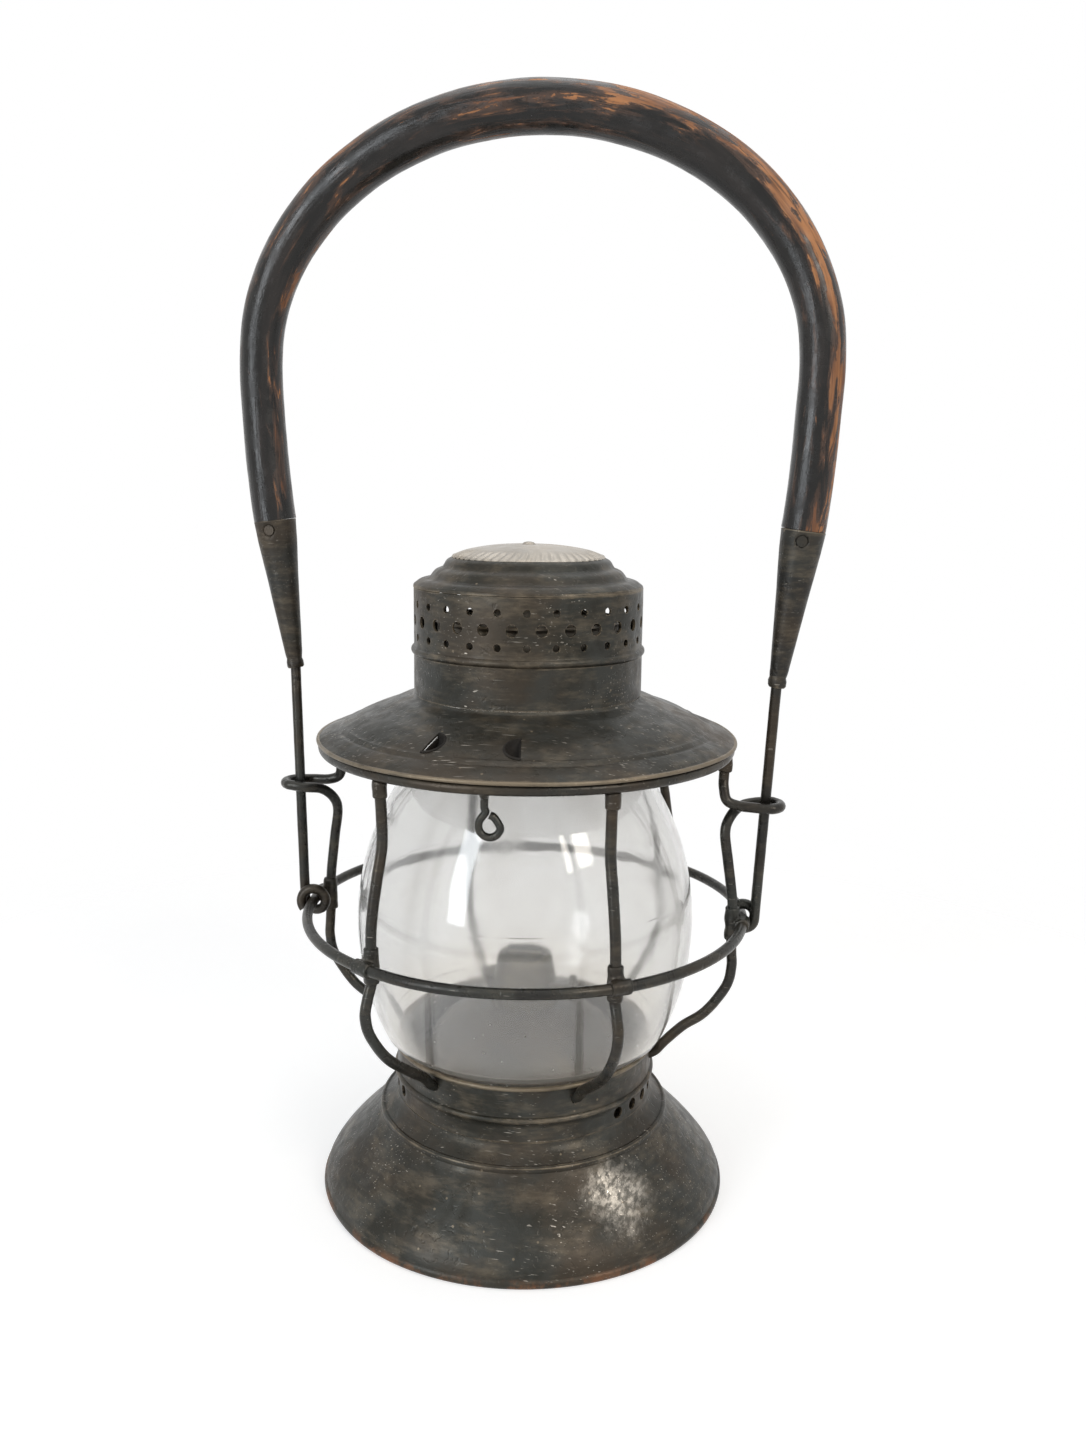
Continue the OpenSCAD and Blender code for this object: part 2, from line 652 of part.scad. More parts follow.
module cap_stud() {
    stud_r = stud_d / 2;
    stud_rise = 0.9;
    color("#7d7667") translate([0, 0, cap_z + cap_h]) turned(concat(
        [[0, 0]], [[stud_r, 0]], [[stud_r * 0.75, stud_rise * 0.7], [stud_r * 0.35, stud_rise], [0, stud_rise]]));
}

module draught_tube() {
    lip = 1.6;
    line = concat([[draught_r, retainer_z + sheet], [draught_r, retainer_z + draught_h - 2 * lip]],
        arc(draught_r + lip, retainer_z + draught_h - 2 * lip, lip, 180, 95, 5));
    color("#8a8376") turned(strip(line, sheet));
}

module globe_retainer() {
    color("#5a554d") translate([0, 0, retainer_z]) difference() {
        cylinder(r = neck_r - sheet, h = sheet);
        translate([0, 0, -sheet]) cylinder(r = draught_r - sheet, h = 3 * sheet);
    }
}

// The lid turns on the top ring, in a strap wrapped round its wire at the back
strap_bow = top_ring_r - sqrt(top_ring_r * top_ring_r - strap_w * strap_w / 4);
strap_bore_r = wire_r + pin_gap + strap_bow;
strap_t = 0.5;
strap_r = strap_bore_r + strap_t;
module hinge_strap() {
    color("#57514a") translate([0, top_ring_r, top_ring_z]) rotate([0, 90, 0]) difference() {
        cylinder(r = strap_r, h = strap_w, center = true, $fn = 48);
        cylinder(r = strap_bore_r, h = 2 * strap_w, center = true, $fn = 48);
    }
}

// Lid catch

catch_wire_r = catch_wire_d / 2;
catch_pin_r = 1.2;
catch_eye_r = catch_pin_r + pin_gap + catch_wire_r;
cheek_t = 1;
cheek_gap = catch_wire_d + 2 * seat_gap;
lug_side = 4.2;
catch_z = top_ring_z - 1.27;
lug_drop = brim_edge_z + 0.205 * brim_rise - 1.1 * sheet - catch_z;
lug_rise = 3;
// The lug ends against the underside of the brim
brim_under = concat([for (i = [0:len(brim_line) - 1]) brim_line[i] - (sheet + push_gap) * side_of(brim_line, i)],
                    [[brim_r, brim_top_z + lug_rise], [neck_r - sheet, brim_top_z + lug_rise]]);

module at_catch() {
    rotate([0, 0, catch_angle]) translate([0, -catch_r, catch_z]) children();
}

module catch_lug() {
    color("#4d4841") difference() {
        at_catch() union() {
            for (s = [-1, 1])
                translate([s * (cheek_gap + cheek_t) / 2 - cheek_t / 2, -lug_side / 2, 0])
                    cube([cheek_t, lug_side, lug_drop + lug_rise]);
            for (s = [-1, 1])
                translate([s * (cheek_gap + cheek_t) / 2, 0, 0]) rotate([0, 90, 0])
                    cylinder(r = lug_side / 2, h = cheek_t, center = true, $fn = 32);
            translate([-cheek_gap / 2 - cheek_t, -lug_side / 2, lug_drop - cheek_t])
                cube([cheek_gap + 2 * cheek_t, lug_side, cheek_t + lug_rise]);
        }
        turned(brim_under);
        at_catch() rotate([0, 90, 0])
            cylinder(r = catch_pin_r + push_gap, h = 4 * lug_side, center = true, $fn = 32);
    }
}

module catch_pin() {
    pin_l = cheek_gap + 2 * cheek_t + 1.2;
    color("#6a645a") at_catch() rotate([0, 90, 0]) {
        cylinder(r = catch_pin_r, h = pin_l, center = true, $fn = 32);
        for (s = [-1, 1]) translate([0, 0, s * (pin_l / 2 - 0.3)])
            cylinder(r = catch_pin_r + 0.5, h = 0.6, center = true, $fn = 32);
    }
}

// The finger hook is one wire: an eye, a shank and an open loop
hook_r = (catch_w - catch_wire_d) / 2;
hook_mid = [1.6, -catch_l + hook_r + catch_wire_r];
hook_way = smooth(concat(
    [[0, -catch_eye_r], [-0.1, -catch_eye_r - 4], [0.3, hook_mid[1] + 4.9], [hook_mid[0] - hook_r + 0.5, hook_mid[1] + 2.2]],
    [for (a = [180:30:360]) [hook_mid[0] + hook_r * cos(a), hook_mid[1] + hook_r * sin(a)]],
    [[hook_mid[0] + 1.7, hook_mid[1] + 3.2], [hook_mid[0] + 0.2, hook_mid[1] + 4]]), 3);

module lid_catch() {
    color("#3a3632") at_catch() {
        even_rod([for (p = hook_way) [p[0], 0, p[1]]], catch_wire_r, [0, 1, 0], 10);
        rotate([0, 90, 0]) difference() {
            ring(catch_eye_r, catch_wire_r);
            cylinder(r = catch_pin_r + pin_gap, h = 4 * catch_wire_d, center = true, $fn = 48);
        }
    }
}

// Bail

grip_r = grip_d / 2;
grip_crown_r = grip_crown_d / 2;
bail_r = bail_w / 2;
grip_gap = 0.15;
// The grip's lower end runs on from the ferrule's tilt and bends up to the widest part
side_span = [bail_r - grip_end_x, bail_wide_z - grip_end_z];
side_way = [[grip_end_x, grip_end_z + grip_gap], [grip_end_x + 6 * tan(leg_tilt), grip_end_z + 6],
            [grip_end_x + 0.62 * side_span[0], grip_end_z + 0.38 * side_span[1]],
            [grip_end_x + 0.9 * side_span[0], grip_end_z + 0.7 * side_span[1]]];
arch_way = [for (a = [0:10:180]) [bail_r * cos(a), bail_wide_z + crown_rise * sin(a)]];
mirrored_way = [for (i = [len(side_way) - 1:-1:0]) [-side_way[i][0], side_way[i][1]]];
grip_way = smooth(concat(side_way, arch_way, mirrored_way), 2);
function grip_radius(p) = grip_r + (grip_crown_r - grip_r) * pow(max(0, (p[1] - bail_wide_z) / crown_rise), 1.5);

module bail_grip() {
    color("#38291f") rod([for (p = grip_way) [p[0], 0, p[1]]], [for (p = grip_way) grip_radius(p)], [0, 1, 0], 20);
}

ferrule_tip_r = ferrule_tip_d / 2;
nail_z = ferrule_l - 3.6;
nail_r = nail_d / 2;

// The ferrule stands on its tip, along its own Z
module in_ferrule(side) {
    translate([side * tip_x, 0, tip_z]) rotate([0, side * leg_tilt, 0]) children();
}

module ferrule_shell() {
    top_r = grip_r - 0.1;
    difference() {
        turned([[0, 0], [ferrule_tip_r - 0.4, 0], [ferrule_tip_r, 0.6], [ferrule_tip_r, 3],
                [ferrule_tip_r + 0.75, ferrule_l * 0.25], [top_r * 0.76, ferrule_l * 0.62],
                [top_r * 0.95, ferrule_l * 0.87], [top_r, ferrule_l], [top_r - sheet, ferrule_l],
                [top_r * 0.76 - sheet, ferrule_l * 0.62], [wire_r, ferrule_l * 0.25], [0, ferrule_l * 0.25]]);
        translate([0, -grip_r, nail_z]) rotate([90, 0, 0])
            cylinder(r = nail_r + push_gap, h = 2 * grip_r, center = true, $fn = 24);
    }
}

// The leg's wire ends in a socket in the ferrule's tip
leg_way = (leg_head - leg_foot) / norm(leg_head - leg_foot);
socket = 2.4;
module ferrule(side) {
    difference() {
        in_ferrule(side) ferrule_shell();
        rotate([0, 0, side > 0 ? 0 : 180])
            bar(leg_head - 3 * socket * leg_way, leg_head + (socket + push_gap) * leg_way, wire_r + push_gap);
    }
}

module ferrule_right() { color("#433f3a") ferrule(1); }
module ferrule_left() { color("#433f3a") ferrule(-1); }

module ferrule_nails() {
    color("#2a2622") for (side = [-1, 1]) in_ferrule(side)
        translate([0, -grip_r + 2.6, nail_z]) rotate([90, 0, 0]) cylinder(r = nail_r, h = 2, $fn = 24);
}

// A leg is wire from the ferrule's tip down to an eye round the guard wire
module bail_leg() {
    bar(leg_foot - 0.3 * leg_way, leg_head + socket * leg_way, wire_r - 0.05);
    translate([eye_x, eye_shift, guard_z]) rotate([90, 0, 0]) ring(eye_r, wire_r);
}

module bail_leg_right() { color("#3a3733") bail_leg(); }
module bail_leg_left() { color("#3a3733") rotate([0, 0, 180]) bail_leg(); }

// Fount and burner

module fount_pot() {
    color("#6b655a") translate([0, 0, fount_z]) difference() {
        cylinder(r = fount_r, h = fount_h);
        translate([0, 0, sheet]) cylinder(r = fount_r - sheet, h = fount_h);
    }
}

filler_x = filler_r * cos(filler_angle);
filler_y = filler_r * sin(filler_angle);
filler_seat_z = fount_top_z + dome_h * 0.75;
filler_neck_h = 5.4;
filler_neck_d = filler_d - 3.2;
cap_rise = 2.8;
dome_line = concat([[fount_r, fount_top_z], [fount_r, fount_top_z + 0.8]],
    smooth([[fount_r * 0.975, fount_top_z + dome_h * 0.22], [fount_r * 0.86, fount_top_z + dome_h * 0.52],
            [fount_r * 0.66, fount_top_z + dome_h * 0.78], [burner_r + 1.4, fount_top_z + dome_h * 0.95]], 3),
    [[burner_r - 1.5, dome_top_z]]);

module fount_dome() {
    color("#777064") difference() {
        turned(strip(dome_line, sheet));
        translate([filler_x, filler_y, fount_top_z]) cylinder(d = filler_neck_d + 2 * push_gap, h = 2 * dome_h, $fn = 48);
    }
}

module fount_lugs() {
    color("#837b6d") for (i = [0:catch_count - 1])
        rotate([0, 0, -90 - lug_angle / 2 + i * 360 / catch_count]) rotate_extrude(angle = lug_angle)
            translate([fount_r, lug_z]) square([lug_r - fount_r, lug_t]);
}

module filler_neck() {
    below = 4.4;
    color("#857d6e") translate([filler_x, filler_y, filler_seat_z - below]) difference() {
        cylinder(d = filler_neck_d, h = filler_neck_h + below, $fn = 48);
        translate([0, 0, -sliver]) cylinder(d = filler_neck_d - 2 * sheet, h = filler_neck_h + 2 * below, $fn = 48);
    }
}

module filler_cap() {
    knurls = 20;
    grip = filler_neck_h - cap_rise + pin_gap;
    color("#9a8c66") translate([filler_x, filler_y, filler_seat_z + cap_rise]) difference() {
        cylinder(d = filler_d, h = grip + 1.4, $fn = 48);
        translate([0, 0, -sliver]) cylinder(d = filler_neck_d + 2 * pin_gap, h = grip + sliver, $fn = 48);
        for (i = [0:knurls - 1]) rotate([0, 0, i * 360 / knurls]) translate([filler_d / 2 + 0.3, 0, -sliver])
            cylinder(r = 0.6, h = 5, $fn = 16);
    }
}

module burner_collar() {
    knurls = 28;
    color("#9c8a5c") translate([0, 0, dome_top_z]) difference() {
        cylinder(r = burner_r, h = burner_h);
        translate([-tube_w / 2, -tube_t / 2, -sliver]) cube([tube_w, tube_t, burner_h + 2 * sliver]);
        for (i = [0:knurls - 1]) rotate([0, 0, i * 360 / knurls]) translate([burner_r + 0.4, 0, -sliver])
            cylinder(r = 0.8, h = burner_h + 2 * sliver, $fn = 16);
    }
}

cone_foot_r = burner_r - 1.4;
cone_top_r = cone_top_d / 2;
cone_line = concat([[cone_foot_r, burner_z], [cone_foot_r, burner_z + cone_h * 0.45]],
    smooth([[cone_foot_r - 0.2, burner_z + cone_h * 0.55], [cone_top_r + 0.8, burner_z + cone_h * 0.9],
            [cone_top_r, cone_top_z]], 3));

module burner_cone() {
    color("#8d7f5a") difference() {
        union() {
            turned(strip(cone_line, tube_wall));
            translate([0, 0, cone_top_z - tube_wall]) cylinder(r = cone_top_r, h = tube_wall);
        }
        translate([-tube_w / 2 - 0.6, -tube_t / 2 - 0.6, cone_top_z - 3])
            cube([tube_w + 1.2, tube_t + 1.2, 6]);
        translate([0, spur_y, shaft_z]) rotate([0, 90, 0])
            cylinder(r = raiser_d / 2 + pin_gap, h = foot_d, center = true, $fn = 32);
        for (i = [0:11]) rotate([0, 0, 15 + i * 30]) translate([cone_foot_r, 0, burner_z + 2])
            rotate([0, 90, 0]) cylinder(r = 0.9, h = 4, center = true, $fn = 16);
    }
}

tube_low_z = dome_top_z - 3;
tube_top_z = cone_top_z + 0.8;
module wick_tube() {
    color("#93845c") difference() {
        translate([-tube_w / 2, -tube_t / 2, tube_low_z]) cube([tube_w, tube_t, tube_top_z - tube_low_z]);
        translate([-tube_w / 2 + tube_wall, -tube_t / 2 + tube_wall, tube_low_z - 1])
            cube([tube_w - 2 * tube_wall, tube_t - 2 * tube_wall, through]);
        translate([0, spur_y, shaft_z]) rotate([0, 90, 0])
            cylinder(r = spur_r + seat_gap, h = spur_t + 2 * seat_gap, center = true, $fn = 32);
        translate([0, spur_y, shaft_z]) rotate([0, 90, 0])
            cylinder(r = raiser_d / 2 + pin_gap, h = foot_d, center = true, $fn = 32);
    }
}

module wick() {
    wick_top_z = tube_top_z + 2;
    color("#cfc4a6") translate([-wick_w / 2, -wick_t / 2, wick_top_z - wick_l]) cube([wick_w, wick_t, wick_l]);
}

spur_t = 3;
spur_teeth = 14;
module spur_wheel() {
    color("#8f815a") translate([0, spur_y, shaft_z]) rotate([0, 90, 0]) difference() {
        cylinder(r = spur_r, h = spur_t, center = true, $fn = 48);
        cylinder(r = raiser_d / 2 + push_gap, h = 2 * spur_t, center = true, $fn = 32);
        for (i = [0:spur_teeth - 1]) rotate([0, 0, i * 360 / spur_teeth]) translate([spur_r + 0.1, 0, 0])
            cylinder(r = 0.45, h = 2 * spur_t, center = true, $fn = 16);
    }
}

module raiser_shaft() {
    color("#8a7c58") translate([-cone_foot_r, spur_y, shaft_z]) rotate([0, 90, 0])
        cylinder(d = raiser_d, h = thumb_reach + cone_foot_r, $fn = 32);
}

thumb_t = 2;
module thumb_wheel() {
    knurls = 24;
    color("#9b8a5c") translate([thumb_reach - thumb_t, spur_y, shaft_z]) rotate([0, 90, 0]) difference() {
        cylinder(d = thumb_d, h = thumb_t, $fn = 64);
        translate([0, 0, -sliver]) cylinder(r = raiser_d / 2 + push_gap, h = thumb_t + 2 * sliver, $fn = 32);
        for (i = [0:knurls - 1]) rotate([0, 0, i * 360 / knurls]) translate([thumb_d / 2 + 0.15, 0, -sliver])
            cylinder(r = 0.45, h = thumb_t + 2 * sliver, $fn = 16);
    }
}

base_bell();
foot_hem_wire();
base_collar();
globe_seat();
fount_sleeve();
fount_catches();
globe();
guard_ring();
top_ring();
guard_wire_front_left();
guard_wire_front_right();
guard_wire_back_right();
guard_wire_back_left();
loop_wire_right();
loop_wire_left();
ring_clips();
top_clips();
lid_brim();
lid_neck();
vent_band();
crown();
crown_cap();
cap_stud();
draught_tube();
globe_retainer();
hinge_strap();
catch_lug();
catch_pin();
lid_catch();
bail_grip();
ferrule_right();
ferrule_left();
bail_leg_right();
bail_leg_left();
ferrule_nails();
fount_pot();
fount_dome();
fount_lugs();
filler_neck();
filler_cap();
burner_collar();
burner_cone();
wick_tube();
wick();
raiser_shaft();
spur_wheel();
thumb_wheel();
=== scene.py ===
"""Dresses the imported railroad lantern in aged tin, wire, pressed glass and painted wood.

Metres throughout, +Z up and the lid catch towards -Y. Outlines and ways are given in millimetres.
"""
import math

import bmesh
import bpy
from mathutils import Matrix, Vector, noise
from mathutils.kdtree import KDTree


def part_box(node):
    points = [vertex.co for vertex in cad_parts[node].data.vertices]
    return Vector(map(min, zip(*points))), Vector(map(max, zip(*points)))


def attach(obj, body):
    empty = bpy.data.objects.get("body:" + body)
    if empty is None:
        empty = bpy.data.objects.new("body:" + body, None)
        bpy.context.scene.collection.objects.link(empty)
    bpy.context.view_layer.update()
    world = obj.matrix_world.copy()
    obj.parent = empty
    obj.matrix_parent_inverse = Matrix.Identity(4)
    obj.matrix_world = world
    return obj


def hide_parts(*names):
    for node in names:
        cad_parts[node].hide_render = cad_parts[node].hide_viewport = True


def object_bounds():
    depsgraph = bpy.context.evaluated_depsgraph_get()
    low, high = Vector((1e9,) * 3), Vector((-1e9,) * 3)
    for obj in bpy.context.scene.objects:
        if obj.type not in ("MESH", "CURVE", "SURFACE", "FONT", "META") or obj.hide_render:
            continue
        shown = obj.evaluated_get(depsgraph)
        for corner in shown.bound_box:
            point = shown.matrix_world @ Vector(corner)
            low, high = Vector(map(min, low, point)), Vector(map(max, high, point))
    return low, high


bl_info = {
    "name": "Railroad Signal Lantern",
    "version": (1, 0, 0),
    "blender": (4, 5, 0),
    "location": "3D View > Sidebar > Lantern",
    "description": "Builds a worn railroad signal lantern round its CAD frame",
    "category": "Object",
}

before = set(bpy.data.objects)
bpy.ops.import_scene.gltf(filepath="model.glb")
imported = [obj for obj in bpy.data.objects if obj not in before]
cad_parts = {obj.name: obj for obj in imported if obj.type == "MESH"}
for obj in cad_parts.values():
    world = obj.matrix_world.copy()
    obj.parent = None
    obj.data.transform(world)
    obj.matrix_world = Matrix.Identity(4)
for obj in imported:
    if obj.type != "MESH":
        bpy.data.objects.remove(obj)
cad_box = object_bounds()

# The noise starts from this number, so that every run gives the same dents
noise.seed_set(11)

MM = 0.001
SHEET = 0.75
SHARP_ANGLE = 40
WELD = 2e-6

# Radii and heights of the lantern, in millimetres, and the tilt of its bail's legs, in radians
FOOT_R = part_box("base_bell")[1].x / MM
HEM_R = 2.0
HEM_Z = 1.88
COLLAR_R = 50.3
BELL_TOP = 39.4
RIM_Z = 60.8
COLLAR_BEAD_Z = 48.0
AIR_HOLE_Z = 43.8
AIR_HOLE_R = 2.3
FITTER_R = 47.2
BELLY_R = 65.0
BELLY_BEND = 100.0
BELLY_Z = 108.3
SHOULDER_R = 40.9
MOUTH_R = 38.5
GLOBE_FOOT_Z = 50.5
GLOBE_TOP_Z = 200.5
GLOBE_WALL = 3.0
GUARD_Z = 111.6
GUARD_R = 84.0
TRACK_R = 80.1
WIRE_R = 1.95
TOP_RING_R = 76.5
TOP_RING_Z = 178.2
LOOP_Z = 157.6
UPRIGHT_TOP = (75.2, 176.23)
BRIM_R = 79.2
BRIM_EDGE_Z = 180.7
BRIM_RISE = 16.8
BRIM_TOP_Z = 197.5
NECK_R = 42.6
VENT_Z = 212.5
VENT_MID_Z = 225.4
CROWN_Z = 237.0
CROWN_H = 11.5
CAP_Z = 248.5
CAP_R = 28.0
CAP_H = 4.2
BAIL_R = 102.8
BAIL_WIDE_Z = 316.8
CROWN_RISE = 86.0
GRIP_END_X = 99.2
GRIP_END_Z = 259.6
TIP_X = 92.4
FERRULE_L = 57.0
LEG_TILT = math.asin((GRIP_END_X - TIP_X) / FERRULE_L)
TIP_Z = GRIP_END_Z - FERRULE_L * math.cos(LEG_TILT)
GRIP_R = 7.9
GRIP_SWELL = 1.2
EYE_R = 4.6
EYE_SHIFT = 6.5
EYE_X = math.sqrt(GUARD_R ** 2 - EYE_SHIFT ** 2)


# Sizes and colours that a user would change

def colour(name, description, default):
    return bpy.props.FloatVectorProperty(
        name=name, description=description, default=default, size=3, min=0, max=1, subtype="COLOR")


class LanternSizes(bpy.types.PropertyGroup):
    rounds: bpy.props.IntProperty(
        name="Steps Round", description="Steps in each turned piece", default=256, min=48, max=360)
    air_holes: bpy.props.IntProperty(
        name="Air Holes", description="Air holes round the back of the collar", default=25, min=9, max=27)
    vent_holes: bpy.props.IntProperty(
        name="Vent Holes", description="Holes in each row of the vent band", default=26, min=12, max=30)
    crimps: bpy.props.IntProperty(
        name="Crimps", description="Crimps pressed round the cap", default=52, min=24, max=72)
    dent: bpy.props.FloatProperty(
        name="Dents", description="How far the sheet metal wavers from a true shape",
        default=0.35 * MM, min=0, max=0.002, unit="LENGTH")
    wire_waver: bpy.props.FloatProperty(
        name="Wire Waver", description="How far the guard wires waver from their way",
        default=0.22 * MM, min=0, max=0.001, unit="LENGTH")


class LanternColours(bpy.types.PropertyGroup):
    japan: colour("Japanning", "Dark finish of the base and lid", (0.019, 0.018, 0.013))
    smoke: colour("Smoke", "Cooler dark of the rubbed finish", (0.042, 0.043, 0.038))
    brown: colour("Brown", "Browned patches of the finish", (0.050, 0.038, 0.026))
    tan: colour("Worn Edge", "Tan of the worn ridges and edges", (0.30, 0.24, 0.165))
    tin: colour("Bare Tin", "Bare tin where the finish is rubbed away", (0.60, 0.55, 0.48))
    rust: colour("Rust", "Warm brown of the hem and the wire's sides", (0.19, 0.085, 0.040))
    wire: colour("Wire", "Dark tarnish of the guard's wire", (0.024, 0.023, 0.021))
    wood: colour("Wood", "Bare wood of the grip", (0.42, 0.185, 0.075))
    old_wood: colour("Old Wood", "Weathered grain of the grip", (0.16, 0.070, 0.035))
    paint: colour("Grip Paint", "Black paint of the grip", (0.009, 0.008, 0.007))
    glass: colour("Glass", "Tint of the globe", (0.885, 0.882, 0.872))
    brass: colour("Brass", "Dull brass of the burner", (0.115, 0.095, 0.060))
    cotton: colour("Cotton", "Unburnt wick", (0.62, 0.56, 0.43))


class LanternStage(bpy.types.PropertyGroup):
    floor: bpy.props.FloatProperty(
        name="Floor", description="Width of the floor", default=8.0, min=1, max=20, unit="LENGTH")
    window: bpy.props.FloatProperty(
        name="Window Light", description="Strength of the tall light on the left",
        default=8.0, min=0, max=50, unit="POWER")
    lamp: bpy.props.FloatProperty(
        name="Lamp Light", description="Strength of the square light on the right",
        default=5.0, min=0, max=50, unit="POWER")
    top: bpy.props.FloatProperty(
        name="Top Light", description="Strength of the broad light overhead",
        default=9.0, min=0, max=60, unit="POWER")
    sky: bpy.props.FloatProperty(
        name="Sky", description="Level of the light from all round", default=0.34, min=0, max=2)


# Outlines and ways

def arc(x, z, radius, start, end, steps):
    angles = [math.radians(start + (end - start) * i / steps) for i in range(steps + 1)]
    return [(x + radius * math.cos(a), z + radius * math.sin(a)) for a in angles]


def smooth(points, steps):
    """A smooth curve through the points, with a number of steps in each span."""
    given = [Vector(p) for p in points]
    given = [2 * given[0] - given[1]] + given + [2 * given[-1] - given[-2]]
    curve = []
    for a, b, c, d in zip(given, given[1:], given[2:], given[3:]):
        for k in range(steps):
            t = k / steps
            curve.append(0.5 * (2 * b + (c - a) * t + (2 * a - 5 * b + 4 * c - d) * t * t
                                + (3 * b - a - 3 * c + d) * t ** 3))
    return curve + [given[-2]]


def evened(points, step):
    """The same way with points about a step apart."""
    way = [Vector(points[0])]
    for end in points[1:]:
        end = Vector(end)
        start = way[-1]
        count = max(1, round((end - start).length / step))
        way += [start.lerp(end, k / count) for k in range(1, count + 1)]
    return way


def strip(line, thickness):
    """A closed outline: the line, and the same line set off to its left."""
    line = [Vector(p) for p in line]
    off = []
    for i, p in enumerate(line):
        d = (line[min(len(line) - 1, i + 1)] - line[max(0, i - 1)]).normalized()
        off.append(p + thickness * Vector((-d.y, d.x)))
    return line + off[::-1]


def ramped(value, low, high):
    t = min(1.0, max(0.0, (value - low) / (high - low)))
    return t * t * (3 - 2 * t)


def angle_apart(a, b):
    return abs((a - b + 180) % 360 - 180)


# Meshes

def linked(name, data):
    thing = bpy.data.objects.new(name, data)
    bpy.context.scene.collection.objects.link(thing)
    return thing


def meshed(shape, name):
    """Turns a shape into a mesh, and frees it."""
    mesh = bpy.data.meshes.new(name)
    shape.to_mesh(mesh)
    shape.free()
    return mesh


def closed(shape):
    """Merges doubled points and turns the faces outwards."""
    bmesh.ops.remove_doubles(shape, verts=shape.verts, dist=WELD)
    bmesh.ops.recalc_face_normals(shape, faces=shape.faces)
    return shape


def join(into, other):
    mesh = meshed(other, "join")
    into.from_mesh(mesh)
    bpy.data.meshes.remove(mesh)


def spun(loops, rounds):
    """Turns closed outlines in millimetres round the Z axis."""
    shape = bmesh.new()
    for loop in loops:
        verts = [shape.verts.new((p[0] * MM, 0, p[1] * MM)) for p in loop]
        edges = [shape.edges.new((a, b)) for a, b in zip(verts, verts[1:] + verts[:1])]
        bmesh.ops.spin(shape, geom=verts + edges, cent=(0, 0, 0), axis=(0, 0, 1), dvec=(0, 0, 0),
                       angle=math.tau, steps=rounds, use_merge=True, use_duplicate=False)
    return closed(shape)


def swept(way, radii, sides=5):
    """A round rod along a way in millimetres, with a radius at each point."""
    curve = bpy.data.curves.new("way", "CURVE")
    curve.dimensions = "3D"
    curve.twist_mode = "MINIMUM"
    curve.bevel_depth = MM
    curve.bevel_resolution = sides
    curve.use_fill_caps = True
    line = curve.splines.new("POLY")
    line.points.add(len(way) - 1)
    for point, place, radius in zip(line.points, way, radii):
        point.co = (place[0] * MM, place[1] * MM, place[2] * MM, 1)
        point.radius = radius
    holder = linked("way", curve)
    bpy.context.view_layer.update()
    mesh = bpy.data.meshes.new_from_object(holder.evaluated_get(bpy.context.evaluated_depsgraph_get()))
    bpy.data.objects.remove(holder)
    bpy.data.curves.remove(curve)
    shape = bmesh.new()
    shape.from_mesh(mesh)
    bpy.data.meshes.remove(mesh)
    return closed(shape)


def even(way, radius=WIRE_R):
    return [radius] * len(way)


def waver(shape, amount, scale, seed=0.0):
    """Moves the points by a slow noise, so that a true shape looks handled."""
    shift = Vector((seed * 3.7, seed * 1.9, seed * 5.3))
    for v in shape.verts:
        v.co += amount * noise.noise_vector(v.co * scale + shift)


def dent(shape, centre, radius, push):
    """Pushes the points near a centre by a vector, all in millimetres."""
    centre = Vector(centre) * MM
    push = Vector(push) * MM
    radius *= MM
    for v in shape.verts:
        far = (v.co - centre).length
        if far < radius:
            v.co += push * (1 - ramped(far, 0, radius))


def held_in(shape):
    """Keeps every point inside the frame's own box."""
    low, high = cad_box
    for v in shape.verts:
        for k in range(3):
            v.co[k] = min(high[k], max(low[k], v.co[k]))


def placed(shape, matrix):
    bmesh.ops.transform(shape, matrix=matrix, verts=shape.verts)
    return shape


def cylinder(shape, radius, depth, matrix, segments=24):
    bmesh.ops.create_cone(shape, cap_ends=True, segments=segments, radius1=radius * MM,
                          radius2=radius * MM, depth=depth * MM, matrix=matrix)


def moved(x, y, z):
    return Matrix.Translation((x * MM, y * MM, z * MM))


def turned(angle, axis):
    return Matrix.Rotation(math.radians(angle), 4, axis)


def mark_edges(shape, gain=500.0, floor=90.0, blurs=2):
    """Stores how sharply each point stands out, from 0 to 1, for the worn edges."""
    layer = shape.verts.layers.float.new("edge")
    shape.normal_update()
    for v in shape.verts:
        area = sum(f.calc_area() for f in v.link_faces) / 4
        bend = sum(e.calc_face_angle_signed(0.0) * e.calc_length() for e in v.link_edges) / 4
        v[layer] = min(1.0, max(0.0, (bend / max(area, 1e-10) - floor) / gain))
    for _ in range(blurs):
        means = []
        for v in shape.verts:
            near = sum(e.other_vert(v)[layer] for e in v.link_edges) / max(1, len(v.link_edges))
            means.append((v[layer] + near) / 2)
        for v, mean in zip(shape.verts, means):
            v[layer] = mean


def add_piece(name, shape, material, body, nodes, edges=True):
    """Makes the object, gives it its finish, hangs it on the body that it rides on, and hides the frame's
    nodes that it stands for.
    """
    held_in(shape)
    if edges:
        mark_edges(shape)
    mesh = meshed(shape, name)
    mesh.materials.append(material)
    mesh.shade_smooth()
    mesh.set_sharp_from_angle(angle=math.radians(SHARP_ANGLE))
    piece = linked(name, mesh)
    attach(piece, body)
    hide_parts(*nodes)
    return piece


def with_modifier(shape, kind, **settings):
    """Runs one modifier over a shape and gives the result back."""
    mesh = meshed(shape, "work")
    holder = linked("work", mesh)
    modifier = holder.modifiers.new(kind, kind)
    for key, value in settings.items():
        setattr(modifier, key, value)
    bpy.context.view_layer.update()
    result = bpy.data.meshes.new_from_object(holder.evaluated_get(bpy.context.evaluated_depsgraph_get()))
    done = bmesh.new()
    done.from_mesh(result)
    bpy.data.objects.remove(holder)
    bpy.data.meshes.remove(mesh)
    bpy.data.meshes.remove(result)
    return done


